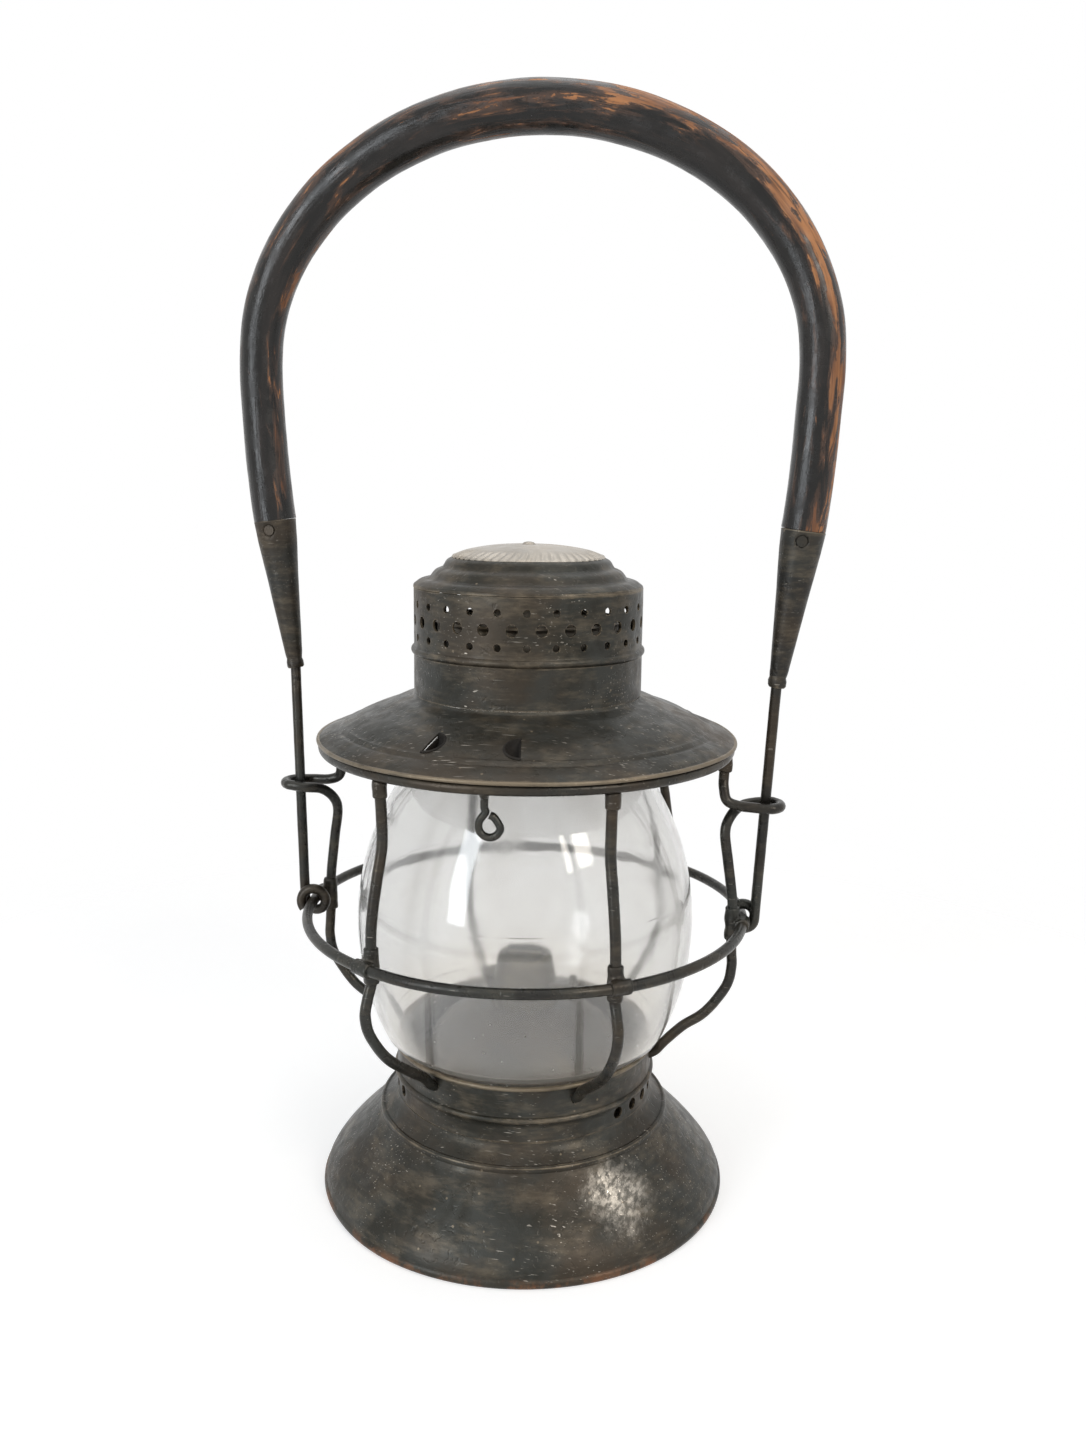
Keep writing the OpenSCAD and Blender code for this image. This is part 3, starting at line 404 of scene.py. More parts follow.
def cut(shape, cutter):
    """Cuts the cutter's solids out of a shape."""
    mesh = meshed(cutter, "cutter")
    holder = linked("cutter", mesh)
    done = with_modifier(shape, "BOOLEAN", operation="DIFFERENCE", solver="EXACT", object=holder)
    bpy.data.objects.remove(holder)
    bpy.data.meshes.remove(mesh)
    return done


# Materials

def put(tree, kind, inputs=None, **settings):
    """Adds a node, sets it up, and feeds its inputs with values or with other nodes."""
    node = tree.nodes.new("ShaderNode" + kind)
    for key, value in settings.items():
        setattr(node, key, value)
    for key, value in (inputs or {}).items():
        if isinstance(value, bpy.types.NodeSocket):
            tree.links.new(value, node.inputs[key])
        else:
            node.inputs[key].default_value = value
    return node


def cloud(tree, place, scale, detail=4.0, roughness=0.55, distortion=0.0):
    return put(tree, "TexNoise", {"Vector": place, "Scale": scale, "Detail": detail, "Roughness": roughness,
                                  "Distortion": distortion}).outputs["Fac"]


def stretched(tree, place, scale, turn=(0, 0, 0), shift=(0, 0, 0)):
    angles = tuple(math.radians(a) for a in turn)
    return put(tree, "Mapping", {"Vector": place, "Scale": scale, "Rotation": angles,
                                 "Location": shift}).outputs["Vector"]


def window(tree, value, low, high, out_low=0.0, out_high=1.0):
    return put(tree, "MapRange", {"Value": value, "From Min": low, "From Max": high, "To Min": out_low,
                                  "To Max": out_high}, interpolation_type="SMOOTHSTEP").outputs["Result"]


def sums(tree, how, a, b, clamp=False):
    return put(tree, "Math", {0: a, 1: b}, operation=how, use_clamp=clamp).outputs["Value"]


def times(tree, a, b):
    return sums(tree, "MULTIPLY", a, b)


def plus(tree, a, b):
    return sums(tree, "ADD", a, b)


def mixed(tree, share, a, b):
    return put(tree, "Mix", {0: share, 6: a, 7: b}, data_type="RGBA").outputs[2]


def bumped(tree, shader, strength, distance, height):
    """Feeds a height to the shader's normal."""
    bump = put(tree, "Bump", {"Strength": strength, "Distance": distance, "Height": height})
    tree.links.new(bump.outputs["Normal"], shader.inputs["Normal"])


def rgba(three, gain=1.0):
    return tuple(min(1.0, c * gain) for c in three) + (1.0,)


def new_group(name, inputs, outputs):
    """An empty shared effect with named sockets."""
    tree = bpy.data.node_groups.new(name, "ShaderNodeTree")
    for label, kind in inputs:
        tree.interface.new_socket(label, in_out="INPUT", socket_type="NodeSocket" + kind)
    for label, kind in outputs:
        tree.interface.new_socket(label, in_out="OUTPUT", socket_type="NodeSocket" + kind)
    return tree, tree.nodes.new("NodeGroupInput").outputs, tree.nodes.new("NodeGroupOutput").inputs


def shared(name, build):
    return bpy.data.node_groups.get(name) or build(name)


def build_scratches(name):
    """Fine scratches in three directions."""
    tree, given, out = new_group(name, [("Vector", "Vector"), ("Amount", "Float")], [("Mask", "Float")])
    total = None
    for turn, shift in (((0, 0, 25), 0.0), ((35, 20, 80), 0.7), ((75, 50, 140), 1.3)):
        place = stretched(tree, given["Vector"], (0.05, 1, 1), turn, (shift, shift, shift))
        line = window(tree, cloud(tree, place, 1500, 1.0, 0.4), 0.71, 0.80)
        total = line if total is None else sums(tree, "MAXIMUM", total, line)
    near = window(tree, cloud(tree, given["Vector"], 30, 3.0), 0.42, 0.66)
    seen = sums(tree, "MULTIPLY", times(tree, total, near), given["Amount"], True)
    tree.links.new(seen, out["Mask"])
    return tree


def build_streaks(name):
    """Rubbed streaks that run round the lantern."""
    tree, given, out = new_group(name, [("Vector", "Vector")], [("Mask", "Float")])
    broad = cloud(tree, stretched(tree, given["Vector"], (1, 1, 2.2)), 60, 6.0, 0.62)
    fine = cloud(tree, stretched(tree, given["Vector"], (1, 1, 5)), 150, 4.0, 0.6)
    both = plus(tree, times(tree, broad, 0.65), times(tree, fine, 0.35))
    tree.links.new(window(tree, both, 0.46, 0.68), out["Mask"])
    return tree


def build_specks(name):
    """Small specks of dust and paint."""
    tree, given, out = new_group(name, [("Vector", "Vector"), ("Scale", "Float"), ("Share", "Float")],
                                 [("Mask", "Float")])
    cells = put(tree, "TexVoronoi", {"Vector": given["Vector"], "Scale": given["Scale"]})
    dot = window(tree, cells.outputs["Distance"], 0.16, 0.07)
    pick = put(tree, "SeparateColor", {"Color": cells.outputs["Color"]}).outputs["Red"]
    chosen = sums(tree, "LESS_THAN", pick, given["Share"])
    tree.links.new(times(tree, dot, chosen), out["Mask"])
    return tree


def build_worn(name):
    """Wear along the ridges, broken up by noise."""
    tree, given, out = new_group(name, [("Vector", "Vector"), ("Edge", "Float"), ("Amount", "Float")],
                                 [("Worn", "Float"), ("Bare", "Float")])
    rough = cloud(tree, stretched(tree, given["Vector"], (1, 1, 3)), 150, 5.0, 0.65)
    slow = cloud(tree, given["Vector"], 24, 3.0)
    spread = plus(tree, times(tree, rough, 0.75), times(tree, slow, 0.5))
    reach = plus(tree, times(tree, given["Edge"], given["Amount"]), spread)
    tree.links.new(window(tree, reach, 0.92, 1.30), out["Worn"])
    tree.links.new(window(tree, reach, 1.36, 1.70), out["Bare"])
    return tree


def build_pits(name):
    """Height of small pits and of the finish's own unevenness."""
    tree, given, out = new_group(name, [("Vector", "Vector")], [("Height", "Float")])
    fine = cloud(tree, given["Vector"], 1100, 3.0, 0.6)
    slow = cloud(tree, given["Vector"], 95, 4.0, 0.5)
    pits = window(tree, cloud(tree, given["Vector"], 420, 2.0, 0.5), 0.30, 0.42)
    grain = times(tree, fine, 0.2)
    relief = plus(tree, times(tree, slow, 0.9), times(tree, pits, 0.5))
    tree.links.new(plus(tree, grain, relief), out["Height"])
    return tree


def use_group(tree, build, label, **inputs):
    return put(tree, "Group", {k.capitalize(): v for k, v in inputs.items()},
               node_tree=shared(label, build)).outputs


def fresh(name):
    material = bpy.data.materials.new(name)
    material.use_nodes = True
    tree = material.node_tree
    place = put(tree, "TexCoord").outputs["Object"]
    return material, tree, tree.nodes["Principled BSDF"], place


def made_once(name, build, *values):
    return bpy.data.materials.get("aged_" + name) or build("aged_" + name, *values)


def metal(name, dark, cool, brown, worn, bare, gloss, rub=0.22, scratches=0.75, metallic=(0.35, 0.9),
          roughness=(0.38, 0.28), bump=0.35, rust=None, shine=None):
    """Aged metal: a mottled finish, rubbed streaks, worn ridges, scratches and dust."""
    material, tree, shader, place = fresh(name)
    link = tree.links.new
    edge = put(tree, "Attribute", attribute_name="edge").outputs["Fac"]
    mottle = window(tree, cloud(tree, place, 48, 6.0, 0.62, 0.6), 0.36, 0.66)
    aside = stretched(tree, place, (1, 1, 1.6), shift=(0.4, 0.1, 0.2))
    browned = window(tree, cloud(tree, aside, 22, 5.0, 0.6), 0.42, 0.70)
    base = mixed(tree, mottle, dark, cool)
    base = mixed(tree, browned, base, brown)
    streaks = use_group(tree, build_streaks, "Rubbed Streaks", vector=place)["Mask"]
    wear = use_group(tree, build_worn, "Worn Ridges", vector=place, edge=edge, amount=gloss)
    lines = use_group(tree, build_scratches, "Fine Scratches", vector=place, amount=scratches)["Mask"]
    base = mixed(tree, times(tree, streaks, rub), base, worn)
    base = mixed(tree, times(tree, wear["Worn"], 0.6), base, worn)
    bright = sums(tree, "MAXIMUM", wear["Bare"], lines)
    if shine:
        centre, radius = shine
        away = put(tree, "VectorMath", {0: place, 1: tuple(c * MM for c in centre)}, operation="DISTANCE")
        ragged = times(tree, cloud(tree, place, 70, 6.0, 0.75, 0.4), radius * 1.3 * MM)
        broken = plus(tree, away.outputs["Value"], ragged)
        patch = window(tree, broken, radius * 1.55 * MM, radius * 0.85 * MM)
        slanted = stretched(tree, place, (1, 0.3, 1), (20, 30, 50))
        scuffs = window(tree, cloud(tree, slanted, 520, 4.0, 0.7), 0.40, 0.62)
        patch = times(tree, patch, plus(tree, times(tree, scuffs, 0.5), 0.16))
        bright = sums(tree, "MAXIMUM", bright, patch)
    base = mixed(tree, bright, base, bare)
    if rust:
        low, high, tint = rust
        height = put(tree, "SeparateXYZ", {0: place}).outputs["Z"]
        near = window(tree, height, high * MM, low * MM)
        patchy = window(tree, cloud(tree, place, 60, 5.0, 0.7), 0.46, 0.60)
        base = mixed(tree, times(tree, near, patchy), base, tint)
    dust = use_group(tree, build_specks, "Specks", vector=place, scale=260.0, share=0.10)["Mask"]
    base = mixed(tree, times(tree, dust, 0.5), base, worn)
    link(base, shader.inputs["Base Color"])
    link(window(tree, bright, 0, 1, *metallic), shader.inputs["Metallic"])
    grain = cloud(tree, place, 210, 4.0, 0.6)
    rough = plus(tree, window(tree, bright, 0, 1, *roughness), window(tree, grain, 0.3, 0.7, -0.07, 0.09))
    link(plus(tree, rough, times(tree, browned, 0.08)), shader.inputs["Roughness"])
    pits = use_group(tree, build_pits, "Pits", vector=place)["Height"]
    bumped(tree, shader, bump, 0.0004, sums(tree, "SUBTRACT", pits, times(tree, lines, 0.5)))
    shader.inputs["Specular IOR Level"].default_value = 0.3
    return material


def japanned(name, colours, shine=None, rust=None):
    return metal(name, rgba(colours.japan), rgba(colours.smoke), rgba(colours.brown), rgba(colours.tan),
                 rgba(colours.tin), 0.62, shine=shine, rust=rust)


def wire_metal(name, colours):
    return metal(name, rgba(colours.wire), rgba(colours.smoke), rgba(colours.brown, 0.9),
                 rgba(colours.tan, 0.5), rgba(colours.tin, 0.8), 0.25, rub=0.28, scratches=0.4,
                 metallic=(0.45, 0.85), roughness=(0.30, 0.26), bump=0.5)


def ferrule_metal(name, colours):
    return metal(name, rgba(colours.wire, 0.8), rgba(colours.smoke, 0.8), rgba(colours.brown, 0.8),
                 rgba(colours.tan, 0.9), rgba(colours.tin), 0.55, rub=0.25, scratches=0.3,
                 metallic=(0.3, 0.8), roughness=(0.40, 0.3), bump=0.35)


# Near-black painted shade for the insides of the louvres, where they fall into shadow
def sooty_tin(name, colours):
    return metal(name, rgba(colours.paint, 0.5), rgba(colours.paint), rgba(colours.brown, 0.35),
                 rgba(colours.brown, 0.5), rgba(colours.brown), 0.1, rub=0.2, scratches=0.1,
                 metallic=(0.1, 0.2), roughness=(0.7, 0.6))


def worn_tin(name, colours):
    return metal(name, rgba(colours.smoke), rgba(colours.tan, 0.6), rgba(colours.brown, 1.2),
                 rgba(colours.tan), rgba(colours.tin), 0.7, metallic=(0.6, 0.9), bump=0.3)


def cap_tin(name, colours):
    return metal(name, rgba(colours.tin, 0.6), rgba(colours.tin, 0.8), rgba(colours.tan, 1.1),
                 rgba(colours.tin, 0.8), rgba(colours.tin, 1.25), 0.3, rub=0.3,
                 metallic=(0.8, 0.95), roughness=(0.36, 0.26), bump=0.3)


def fount_tin(name, colours):
    return metal(name, rgba(colours.smoke, 0.9), rgba(colours.tan, 0.25), rgba(colours.brown, 1.2),
                 rgba(colours.tan, 0.6), rgba(colours.tin, 0.6), 0.5, metallic=(0.2, 0.6),
                 roughness=(0.42, 0.3), bump=0.2)


def old_brass(name, colours):
    return metal(name, rgba(colours.brass, 0.6), rgba(colours.brass), rgba(colours.brown),
                 rgba(colours.brass, 1.2), rgba(colours.brass, 1.6), 0.4, metallic=(0.7, 0.95),
                 roughness=(0.45, 0.3), bump=0.2)


def globe_glass(name, colours):
    """Old pressed glass: slightly wavy, hazy in streaks, dusty low down."""
    material, tree, shader, place = fresh(name)
    link = tree.links.new
    height = put(tree, "SeparateXYZ", {0: place}).outputs["Z"]
    drawn = stretched(tree, place, (1, 1, 0.35), (12, 20, 0))
    haze = window(tree, cloud(tree, drawn, 34, 5.0, 0.6, 0.8), 0.40, 0.78)
    dust = use_group(tree, build_specks, "Specks", vector=place, scale=330.0, share=0.16)["Mask"]
    low = window(tree, height, 86 * MM, 62 * MM)
    dusty = times(tree, dust, window(tree, height, 110 * MM, 70 * MM, 0.12, 0.9))
    tint = mixed(tree, times(tree, low, 0.5), rgba(colours.glass), (0.80, 0.73, 0.62, 1))
    tint = mixed(tree, times(tree, haze, 0.7), tint, (0.80, 0.785, 0.76, 1))
    link(mixed(tree, dusty, tint, (0.62, 0.58, 0.50, 1)), shader.inputs["Base Color"])
    cloudy = plus(tree, window(tree, haze, 0, 1, 0.05, 0.16), times(tree, low, 0.10))
    link(plus(tree, cloudy, times(tree, dusty, 0.5)), shader.inputs["Roughness"])
    seam = window(tree, sums(tree, "SUBTRACT", height, 122 * MM), 0, 0.0005)
    ripple = cloud(tree, place, 55, 2.0, 0.4)
    relief = plus(tree, times(tree, seam, 0.12), ripple)
    bumped(tree, shader, 0.35, 0.0006, relief)
    shader.inputs["Transmission Weight"].default_value = 0.90
    shader.inputs["IOR"].default_value = 1.48
    shadow = put(tree, "LightPath").outputs["Is Shadow Ray"]
    link(window(tree, shadow, 0, 1, 1.0, 0.12), shader.inputs["Alpha"])
    return material


def painted_wood(name, colours):
    """Cracked black paint over streaky wood, chipped away where the hand has rubbed it, with a painted sheen
    of lighter streaks.
    """
    material, tree, shader, place = fresh(name)
    link = tree.links.new
    along = put(tree, "Attribute", attribute_name="along").outputs["Vector"]
    bared = put(tree, "Attribute", attribute_name="bared").outputs["Fac"]
    fibre = cloud(tree, stretched(tree, along, (1, 1, 0.045)), 900, 4.0, 0.6)
    bands = cloud(tree, stretched(tree, along, (1, 1, 0.07)), 260, 4.0, 0.6, 0.5)
    wood = mixed(tree, window(tree, bands, 0.40, 0.62), rgba(colours.wood), rgba(colours.old_wood))
    wood = mixed(tree, window(tree, fibre, 0.50, 0.68, 0, 0.75), wood, rgba(colours.old_wood, 0.45))
    chips = cloud(tree, stretched(tree, along, (1, 1, 0.16)), 300, 6.0, 0.68, 0.7)
    broad = cloud(tree, stretched(tree, along, (1, 1, 0.30)), 70, 4.0, 0.6)
    flaked = plus(tree, times(tree, chips, 2.2), times(tree, broad, 1.2))
    reach = plus(tree, sums(tree, "SUBTRACT", flaked, 1.7), bared)
    open_wood = window(tree, reach, 0.48, 0.53)
    rubbed = window(tree, reach, 0.16, 0.5)
    # Painted sheen: lighter streaks of paint colour stand in for highlights along the grip
    painted_sheen = window(tree, cloud(tree, stretched(tree, along, (1, 1, 0.2)), 120, 4.0, 0.6), 0.45, 0.65)
    coat = mixed(tree, times(tree, painted_sheen, 0.6), rgba(colours.paint, 0.7), (0.030, 0.024, 0.021, 1))
    coat = mixed(tree, times(tree, rubbed, 0.7), coat, (0.095, 0.052, 0.034, 1))
    slanted = stretched(tree, along, (1, 1, 0.10), (0, 12, 8))
    cracks = window(tree, cloud(tree, slanted, 650, 3.0, 0.5), 0.645, 0.70)
    flecks = times(tree, cracks, window(tree, rubbed, 0.1, 0.7))
    coat = mixed(tree, times(tree, flecks, 0.7), coat, rgba(colours.wood, 0.8))
    link(mixed(tree, open_wood, coat, wood), shader.inputs["Base Color"])
    gloss = window(tree, cloud(tree, place, 160, 5.0, 0.65), 0.35, 0.65, 0.12, 0.34)
    gloss = plus(tree, gloss, times(tree, rubbed, 0.10))
    link(plus(tree, gloss, times(tree, open_wood, 0.22)), shader.inputs["Roughness"])
    relief = sums(tree, "SUBTRACT", times(tree, fibre, 0.35), times(tree, open_wood, 0.6))
    relief = plus(tree, relief, times(tree, chips, 0.7))
    bumped(tree, shader, 0.55, 0.0005, relief)
    shader.inputs["Specular IOR Level"].default_value = 0.36
    return material


def wick_cotton(name, colours):
    """Flat woven cotton, charred at the top."""
    material, tree, shader, place = fresh(name)
    link = tree.links.new
    weave = put(tree, "TexChecker", {"Vector": place, "Scale": 1700.0}).outputs["Fac"]
    fuzz = cloud(tree, place, 900, 3.0)
    height = put(tree, "SeparateXYZ", {0: place}).outputs["Z"]
    charred = window(tree, plus(tree, height, times(tree, fuzz, 0.001)), 93.5 * MM, 95.2 * MM)
    base = mixed(tree, times(tree, weave, 0.25), rgba(colours.cotton), rgba(colours.cotton, 0.7))
    link(mixed(tree, charred, base, (0.02, 0.018, 0.016, 1)), shader.inputs["Base Color"])
    shader.inputs["Roughness"].default_value = 0.95
    bumped(tree, shader, 0.5, 0.0003, plus(tree, weave, fuzz))
    return material


def finishes(colours):
    """Every finish by name, made the first time that it is asked for."""
    return {
        "japanned_tin": made_once("japanned_tin", japanned, colours),
        "worn_tin": made_once("worn_tin", worn_tin, colours),
        "guard_wire": made_once("guard_wire", wire_metal, colours),
        "cap_tin": made_once("cap_tin", cap_tin, colours),
        "fount_tin": made_once("fount_tin", fount_tin, colours),
        "burner_brass": made_once("burner_brass", old_brass, colours),
        "globe_glass": made_once("globe_glass", globe_glass, colours),
        "painted_wood": made_once("painted_wood", painted_wood, colours),
        "wick_cotton": made_once("wick_cotton", wick_cotton, colours),
    }


# Camera, lamps and floor

CAMERA_AT = (0.0913, -0.4573, 0.2778)
CAMERA_WAY = (-0.17956, 0.96414, -0.19543)
CAMERA_ROLL = 0.68
LENS_MM = 31.08
SENSOR_MM = 36
LAMPS_AIM = (0, 0, 0.14)
FLOOR_GLOW = 0.56
FLOOR_FADE = (0.26, 0.55)


def aim(thing, target, roll=0.0):
    way = (Vector(target) - thing.location).normalized()
    thing.rotation_euler = (way.to_track_quat("-Z", "Y").to_matrix().to_4x4() @ turned(roll, "Z")).to_euler()


def area_lamp(name, power, width, height, azimuth, elevation, distance, target, tint):
    light = bpy.data.lights.new(name, "AREA")
    light.shape = "RECTANGLE"
    light.size = width
    light.size_y = height
    light.energy = power
    light.color = tint
    lamp = linked(name, light)
    a, e = math.radians(azimuth), math.radians(elevation)
    lamp.location = Vector(target) + distance * Vector(
        (math.cos(a) * math.cos(e), math.sin(a) * math.cos(e), math.sin(e)))
    aim(lamp, target)


def seen_directly(tree):
    """1 for the rays that should see a plain white background."""
    path = put(tree, "LightPath")
    seen = sums(tree, "MAXIMUM", path.outputs["Is Camera Ray"], path.outputs["Is Glossy Ray"])
    return sums(tree, "MAXIMUM", seen, path.outputs["Is Transmission Ray"])


class LANTERN_OT_stage(bpy.types.Operator):
    """Sets up the camera, the lamps, the white surroundings and the floor"""
    bl_idname = "lantern.stage"
    bl_label = "Stage"

    def execute(self, context):
        stage = context.scene.lantern_stage
        context.scene.view_settings.view_transform = "Standard"
        lens = bpy.data.cameras.new("camera")
        lens.lens = LENS_MM
        lens.sensor_width = SENSOR_MM
        lens.clip_start = 0.01
        camera = linked("camera", lens)
        camera.location = CAMERA_AT
        aim(camera, camera.location + Vector(CAMERA_WAY), CAMERA_ROLL)
        context.scene.camera = camera

        area_lamp("window_light", stage.window, 0.30, 0.95, -124, 18, 1.3, LAMPS_AIM, (0.90, 0.95, 1.0))
        area_lamp("lamp_light", stage.lamp, 0.42, 0.42, -38, 32, 1.25, LAMPS_AIM, (1.0, 0.94, 0.86))
        area_lamp("top_light", stage.top, 1.6, 1.6, 70, 82, 1.6, LAMPS_AIM, (1, 1, 1))

        world = bpy.data.worlds.new("surroundings")
        world.use_nodes = True
        tree = world.node_tree
        back = tree.nodes["Background"]
        back.inputs["Color"].default_value = (1, 1, 1, 1)
        level = window(tree, seen_directly(tree), 0, 1, stage.sky, 1.0)
        tree.links.new(level, back.inputs["Strength"])
        context.scene.world = world

        floor = bmesh.new()
        bmesh.ops.create_grid(floor, x_segments=4, y_segments=4, size=stage.floor / 2)
        mesh = meshed(floor, "floor")
        ground = linked("floor", mesh)
        white, tree, shader, place = fresh("white_floor")
        shader.inputs["Base Color"].default_value = (0.60, 0.60, 0.60, 1)
        shader.inputs["Roughness"].default_value = 0.9
        shader.inputs["Specular IOR Level"].default_value = 0.1
        shader.inputs["Emission Color"].default_value = (1, 1, 1, 1)
        strength = window(tree, seen_directly(tree), 0, 1, 0.0, FLOOR_GLOW)
        glow = put(tree, "Emission", {"Color": (1, 1, 1, 1), "Strength": strength})
        both = put(tree, "AddShader")
        tree.links.new(shader.outputs["BSDF"], both.inputs[0])
        tree.links.new(glow.outputs["Emission"], both.inputs[1])
        away = put(tree, "VectorMath", {0: place, 1: (0, 0, 0)}, operation="DISTANCE").outputs["Value"]
        fade = put(tree, "MixShader", {0: window(tree, away, *FLOOR_FADE)})
        tree.links.new(both.outputs[0], fade.inputs[1])
        tree.links.new(put(tree, "BsdfTransparent").outputs[0], fade.inputs[2])
        tree.links.new(fade.outputs[0], tree.nodes["Material Output"].inputs["Surface"])
        mesh.materials.append(white)
        return {"FINISHED"}


# Base

FLARE_SHAPE = [(0, 1), (0.015, 0.965), (0.05, 0.925), (0.11, 0.88), (0.172, 0.838)]
BEAD_SHAPE = [(0.20, 0.842), (0.224, 0.825), (0.230, 0.80), (0.226, 0.775)]
SLOPE_SHAPE = [(0.255, 0.74), (0.32, 0.685), (0.49, 0.545), (0.66, 0.41), (0.80, 0.285), (0.90, 0.18),
               (0.95, 0.11)]
UPRIGHT_ANGLES = (-90, -30, 33.5, 90, 140.5, 210)
PANEL_HALF = (50.5, 51.9)
PANEL_PRESS = 0.45
FIRST_AIR_HOLE = 56.0


def bell_outline():
    span, drop = FOOT_R - COLLAR_R, BELL_TOP - HEM_R
    flare, bead, slope = ([(COLLAR_R + a * span, HEM_R + b * drop) for a, b in shape]
                          for shape in (FLARE_SHAPE, BEAD_SHAPE, SLOPE_SHAPE))
    line = evened(smooth(flare, 4) + smooth(bead, 3) + smooth(slope, 5), 0.9)
    line += [Vector(p) for p in arc(FOOT_R - HEM_R, HEM_Z, HEM_R, 58, -195, 22)]
    return [(r, max(0.02, z)) for r, z in strip(line, -SHEET)]


class LANTERN_OT_base(bpy.types.Operator):
    """Builds the bell-shaped foot and the collar with its air holes"""
    bl_idname = "lantern.base"
    bl_label = "Base"

    def execute(self, context):
        sizes = context.scene.lantern_sizes
        colours = context.scene.lantern_colours
        bell = spun([bell_outline()], sizes.rounds)
        waver(bell, sizes.dent, 22, 1)
        dent(bell, (42, -52, 19), 17, (-0.6, 0.7, -0.6))
        dent(bell, (-50, -42, 19), 20, (0.35, 0.3, -0.4))
        shine = ((44, -46, 21), 19)
        rust = (1.0, 4.6, rgba(colours.rust))
        tin = made_once("bell_tin", japanned, colours, shine, rust)
        add_piece("bell", bell, tin, "frame", ["base_bell"])

        wall = [(COLLAR_R, RIM_Z - 0.4 - k) for k in range(11)]
        wall += arc(COLLAR_R - 0.1, COLLAR_BEAD_Z, 1.3, 78, -78, 10)
        wall += [(COLLAR_R, COLLAR_BEAD_Z - 1.8 - k) for k in range(7)] + [(COLLAR_R, BELL_TOP + 0.1)]
        collar = spun([strip(wall, -SHEET)], sizes.rounds)
        rim = spun([arc(COLLAR_R + 0.65, RIM_Z, 0.9, 0, 337.5, 15)], sizes.rounds)
        for v in collar.verts:
            radius = math.hypot(v.co.x, v.co.y)
            apart = angle_apart(math.degrees(math.atan2(v.co.y, v.co.x)), -90)
            above = ramped(v.co.z, (BELL_TOP + 0.6) * MM, (BELL_TOP + 1.4) * MM)
            below = 1 - ramped(v.co.z, (COLLAR_BEAD_Z - 2.8) * MM, (COLLAR_BEAD_Z - 2) * MM)
            press = PANEL_PRESS * ((1 - ramped(apart, *PANEL_HALF)) * above) * below
            v.co.x *= 1 - press * MM / radius
            v.co.y *= 1 - press * MM / radius
        waver(collar, sizes.dent * 0.5, 30, 2)
        waver(rim, sizes.dent * 0.5, 30, 2)
        cutter = bmesh.new()
        for i in range(sizes.air_holes):
            angle = -90 + FIRST_AIR_HOLE + i * (360 - 2 * FIRST_AIR_HOLE) / (sizes.air_holes - 1)
            place = turned(angle, "Z") @ moved(COLLAR_R, 0, AIR_HOLE_Z) @ turned(90, "Y")
            cylinder(cutter, AIR_HOLE_R, 6, place)
        for angle in UPRIGHT_ANGLES:
            cylinder(cutter, WIRE_R + 0.05, 7,
                     turned(angle - 90, "Z") @ moved(COLLAR_R, 0, RIM_Z - 5.2) @ turned(56, "Y"))
        collar = cut(collar, cutter)
        join(collar, rim)
        tin = finishes(colours)["japanned_tin"]
        add_piece("collar", collar, tin, "frame", ["base_collar"])
        return {"FINISHED"}


# Globe

def belly_at(z):
    """The globe's outside radius at a height within its belly."""
    return BELLY_R - BELLY_BEND + math.sqrt(BELLY_BEND ** 2 - (z - BELLY_Z) ** 2)


def globe_outline():
    foot, top = GLOBE_FOOT_Z, GLOBE_TOP_Z
    low, high = foot + 12.6, top - 32
    line = evened([(FITTER_R, foot), (FITTER_R, foot + 7.4)], 1.5)
    line += smooth([(FITTER_R + 0.3, foot + 8.9), (FITTER_R + 1.4, foot + 10.5), (belly_at(low) - 2.2, low),
                    (belly_at(low + 2.2), low + 2.2)], 4)
    steps = 48
    heights = [low + 2.2 + (high - low - 2.2) * i / steps for i in range(1, steps)]
    line += [Vector((belly_at(z), z)) for z in heights]
    line += smooth([(belly_at(high), high), (belly_at(high + 6), high + 6), (SHOULDER_R, high + 14),
                    (MOUTH_R, top - 12)], 5)
    return line + evened([(MOUTH_R, top - 11), (MOUTH_R, top)], 1.5)


class LANTERN_OT_globe(bpy.types.Operator):
    """Blows the clear globe"""
    bl_idname = "lantern.globe"
    bl_label = "Globe"

    def execute(self, context):
        glass = finishes(context.scene.lantern_colours)["globe_glass"]
        shape = spun([strip(globe_outline(), GLOBE_WALL)], context.scene.lantern_sizes.rounds)
        waver(shape, 0.12 * MM, 26, 3)
        add_piece("globe_glass", shape, glass, "frame", ["globe"], edges=False)
        return {"FINISHED"}


# Wire guard

def lower_way(bow):
    """An upright's way below the round guard wire, as radius and height."""
    return [(TRACK_R, GUARD_Z), (TRACK_R + 0.05, GUARD_Z - 6.5), (TRACK_R + 0.4 + bow, GUARD_Z - 12),
            (TRACK_R + 0.6 + 1.6 * bow, GUARD_Z - 18), (TRACK_R - 1.3 + 1.4 * bow, GUARD_Z - 26),
            (TRACK_R - 8.9 + 1.5 * bow, GUARD_Z - 37), (COLLAR_R + 12.2, RIM_Z + 7 - 1.4 * bow),
            (COLLAR_R + 5.3, RIM_Z - 0.1), (COLLAR_R + 2.2, RIM_Z - 3.8), (COLLAR_R - 0.7, RIM_Z - 5.7)]


UPPER_WAY = [UPRIGHT_TOP, (TOP_RING_R - 1.9, TOP_RING_Z - 14), (TOP_RING_R - 2, TOP_RING_Z - 25),
             (TRACK_R - 3.6, GUARD_Z + 32), (TRACK_R - 1.4, GUARD_Z + 21), (TRACK_R - 0.2, GUARD_Z + 11)]


def leg_foot():
    return Vector((EYE_X + EYE_R, EYE_SHIFT, GUARD_Z))


def leg_head():
    return Vector((TIP_X, 0, TIP_Z))


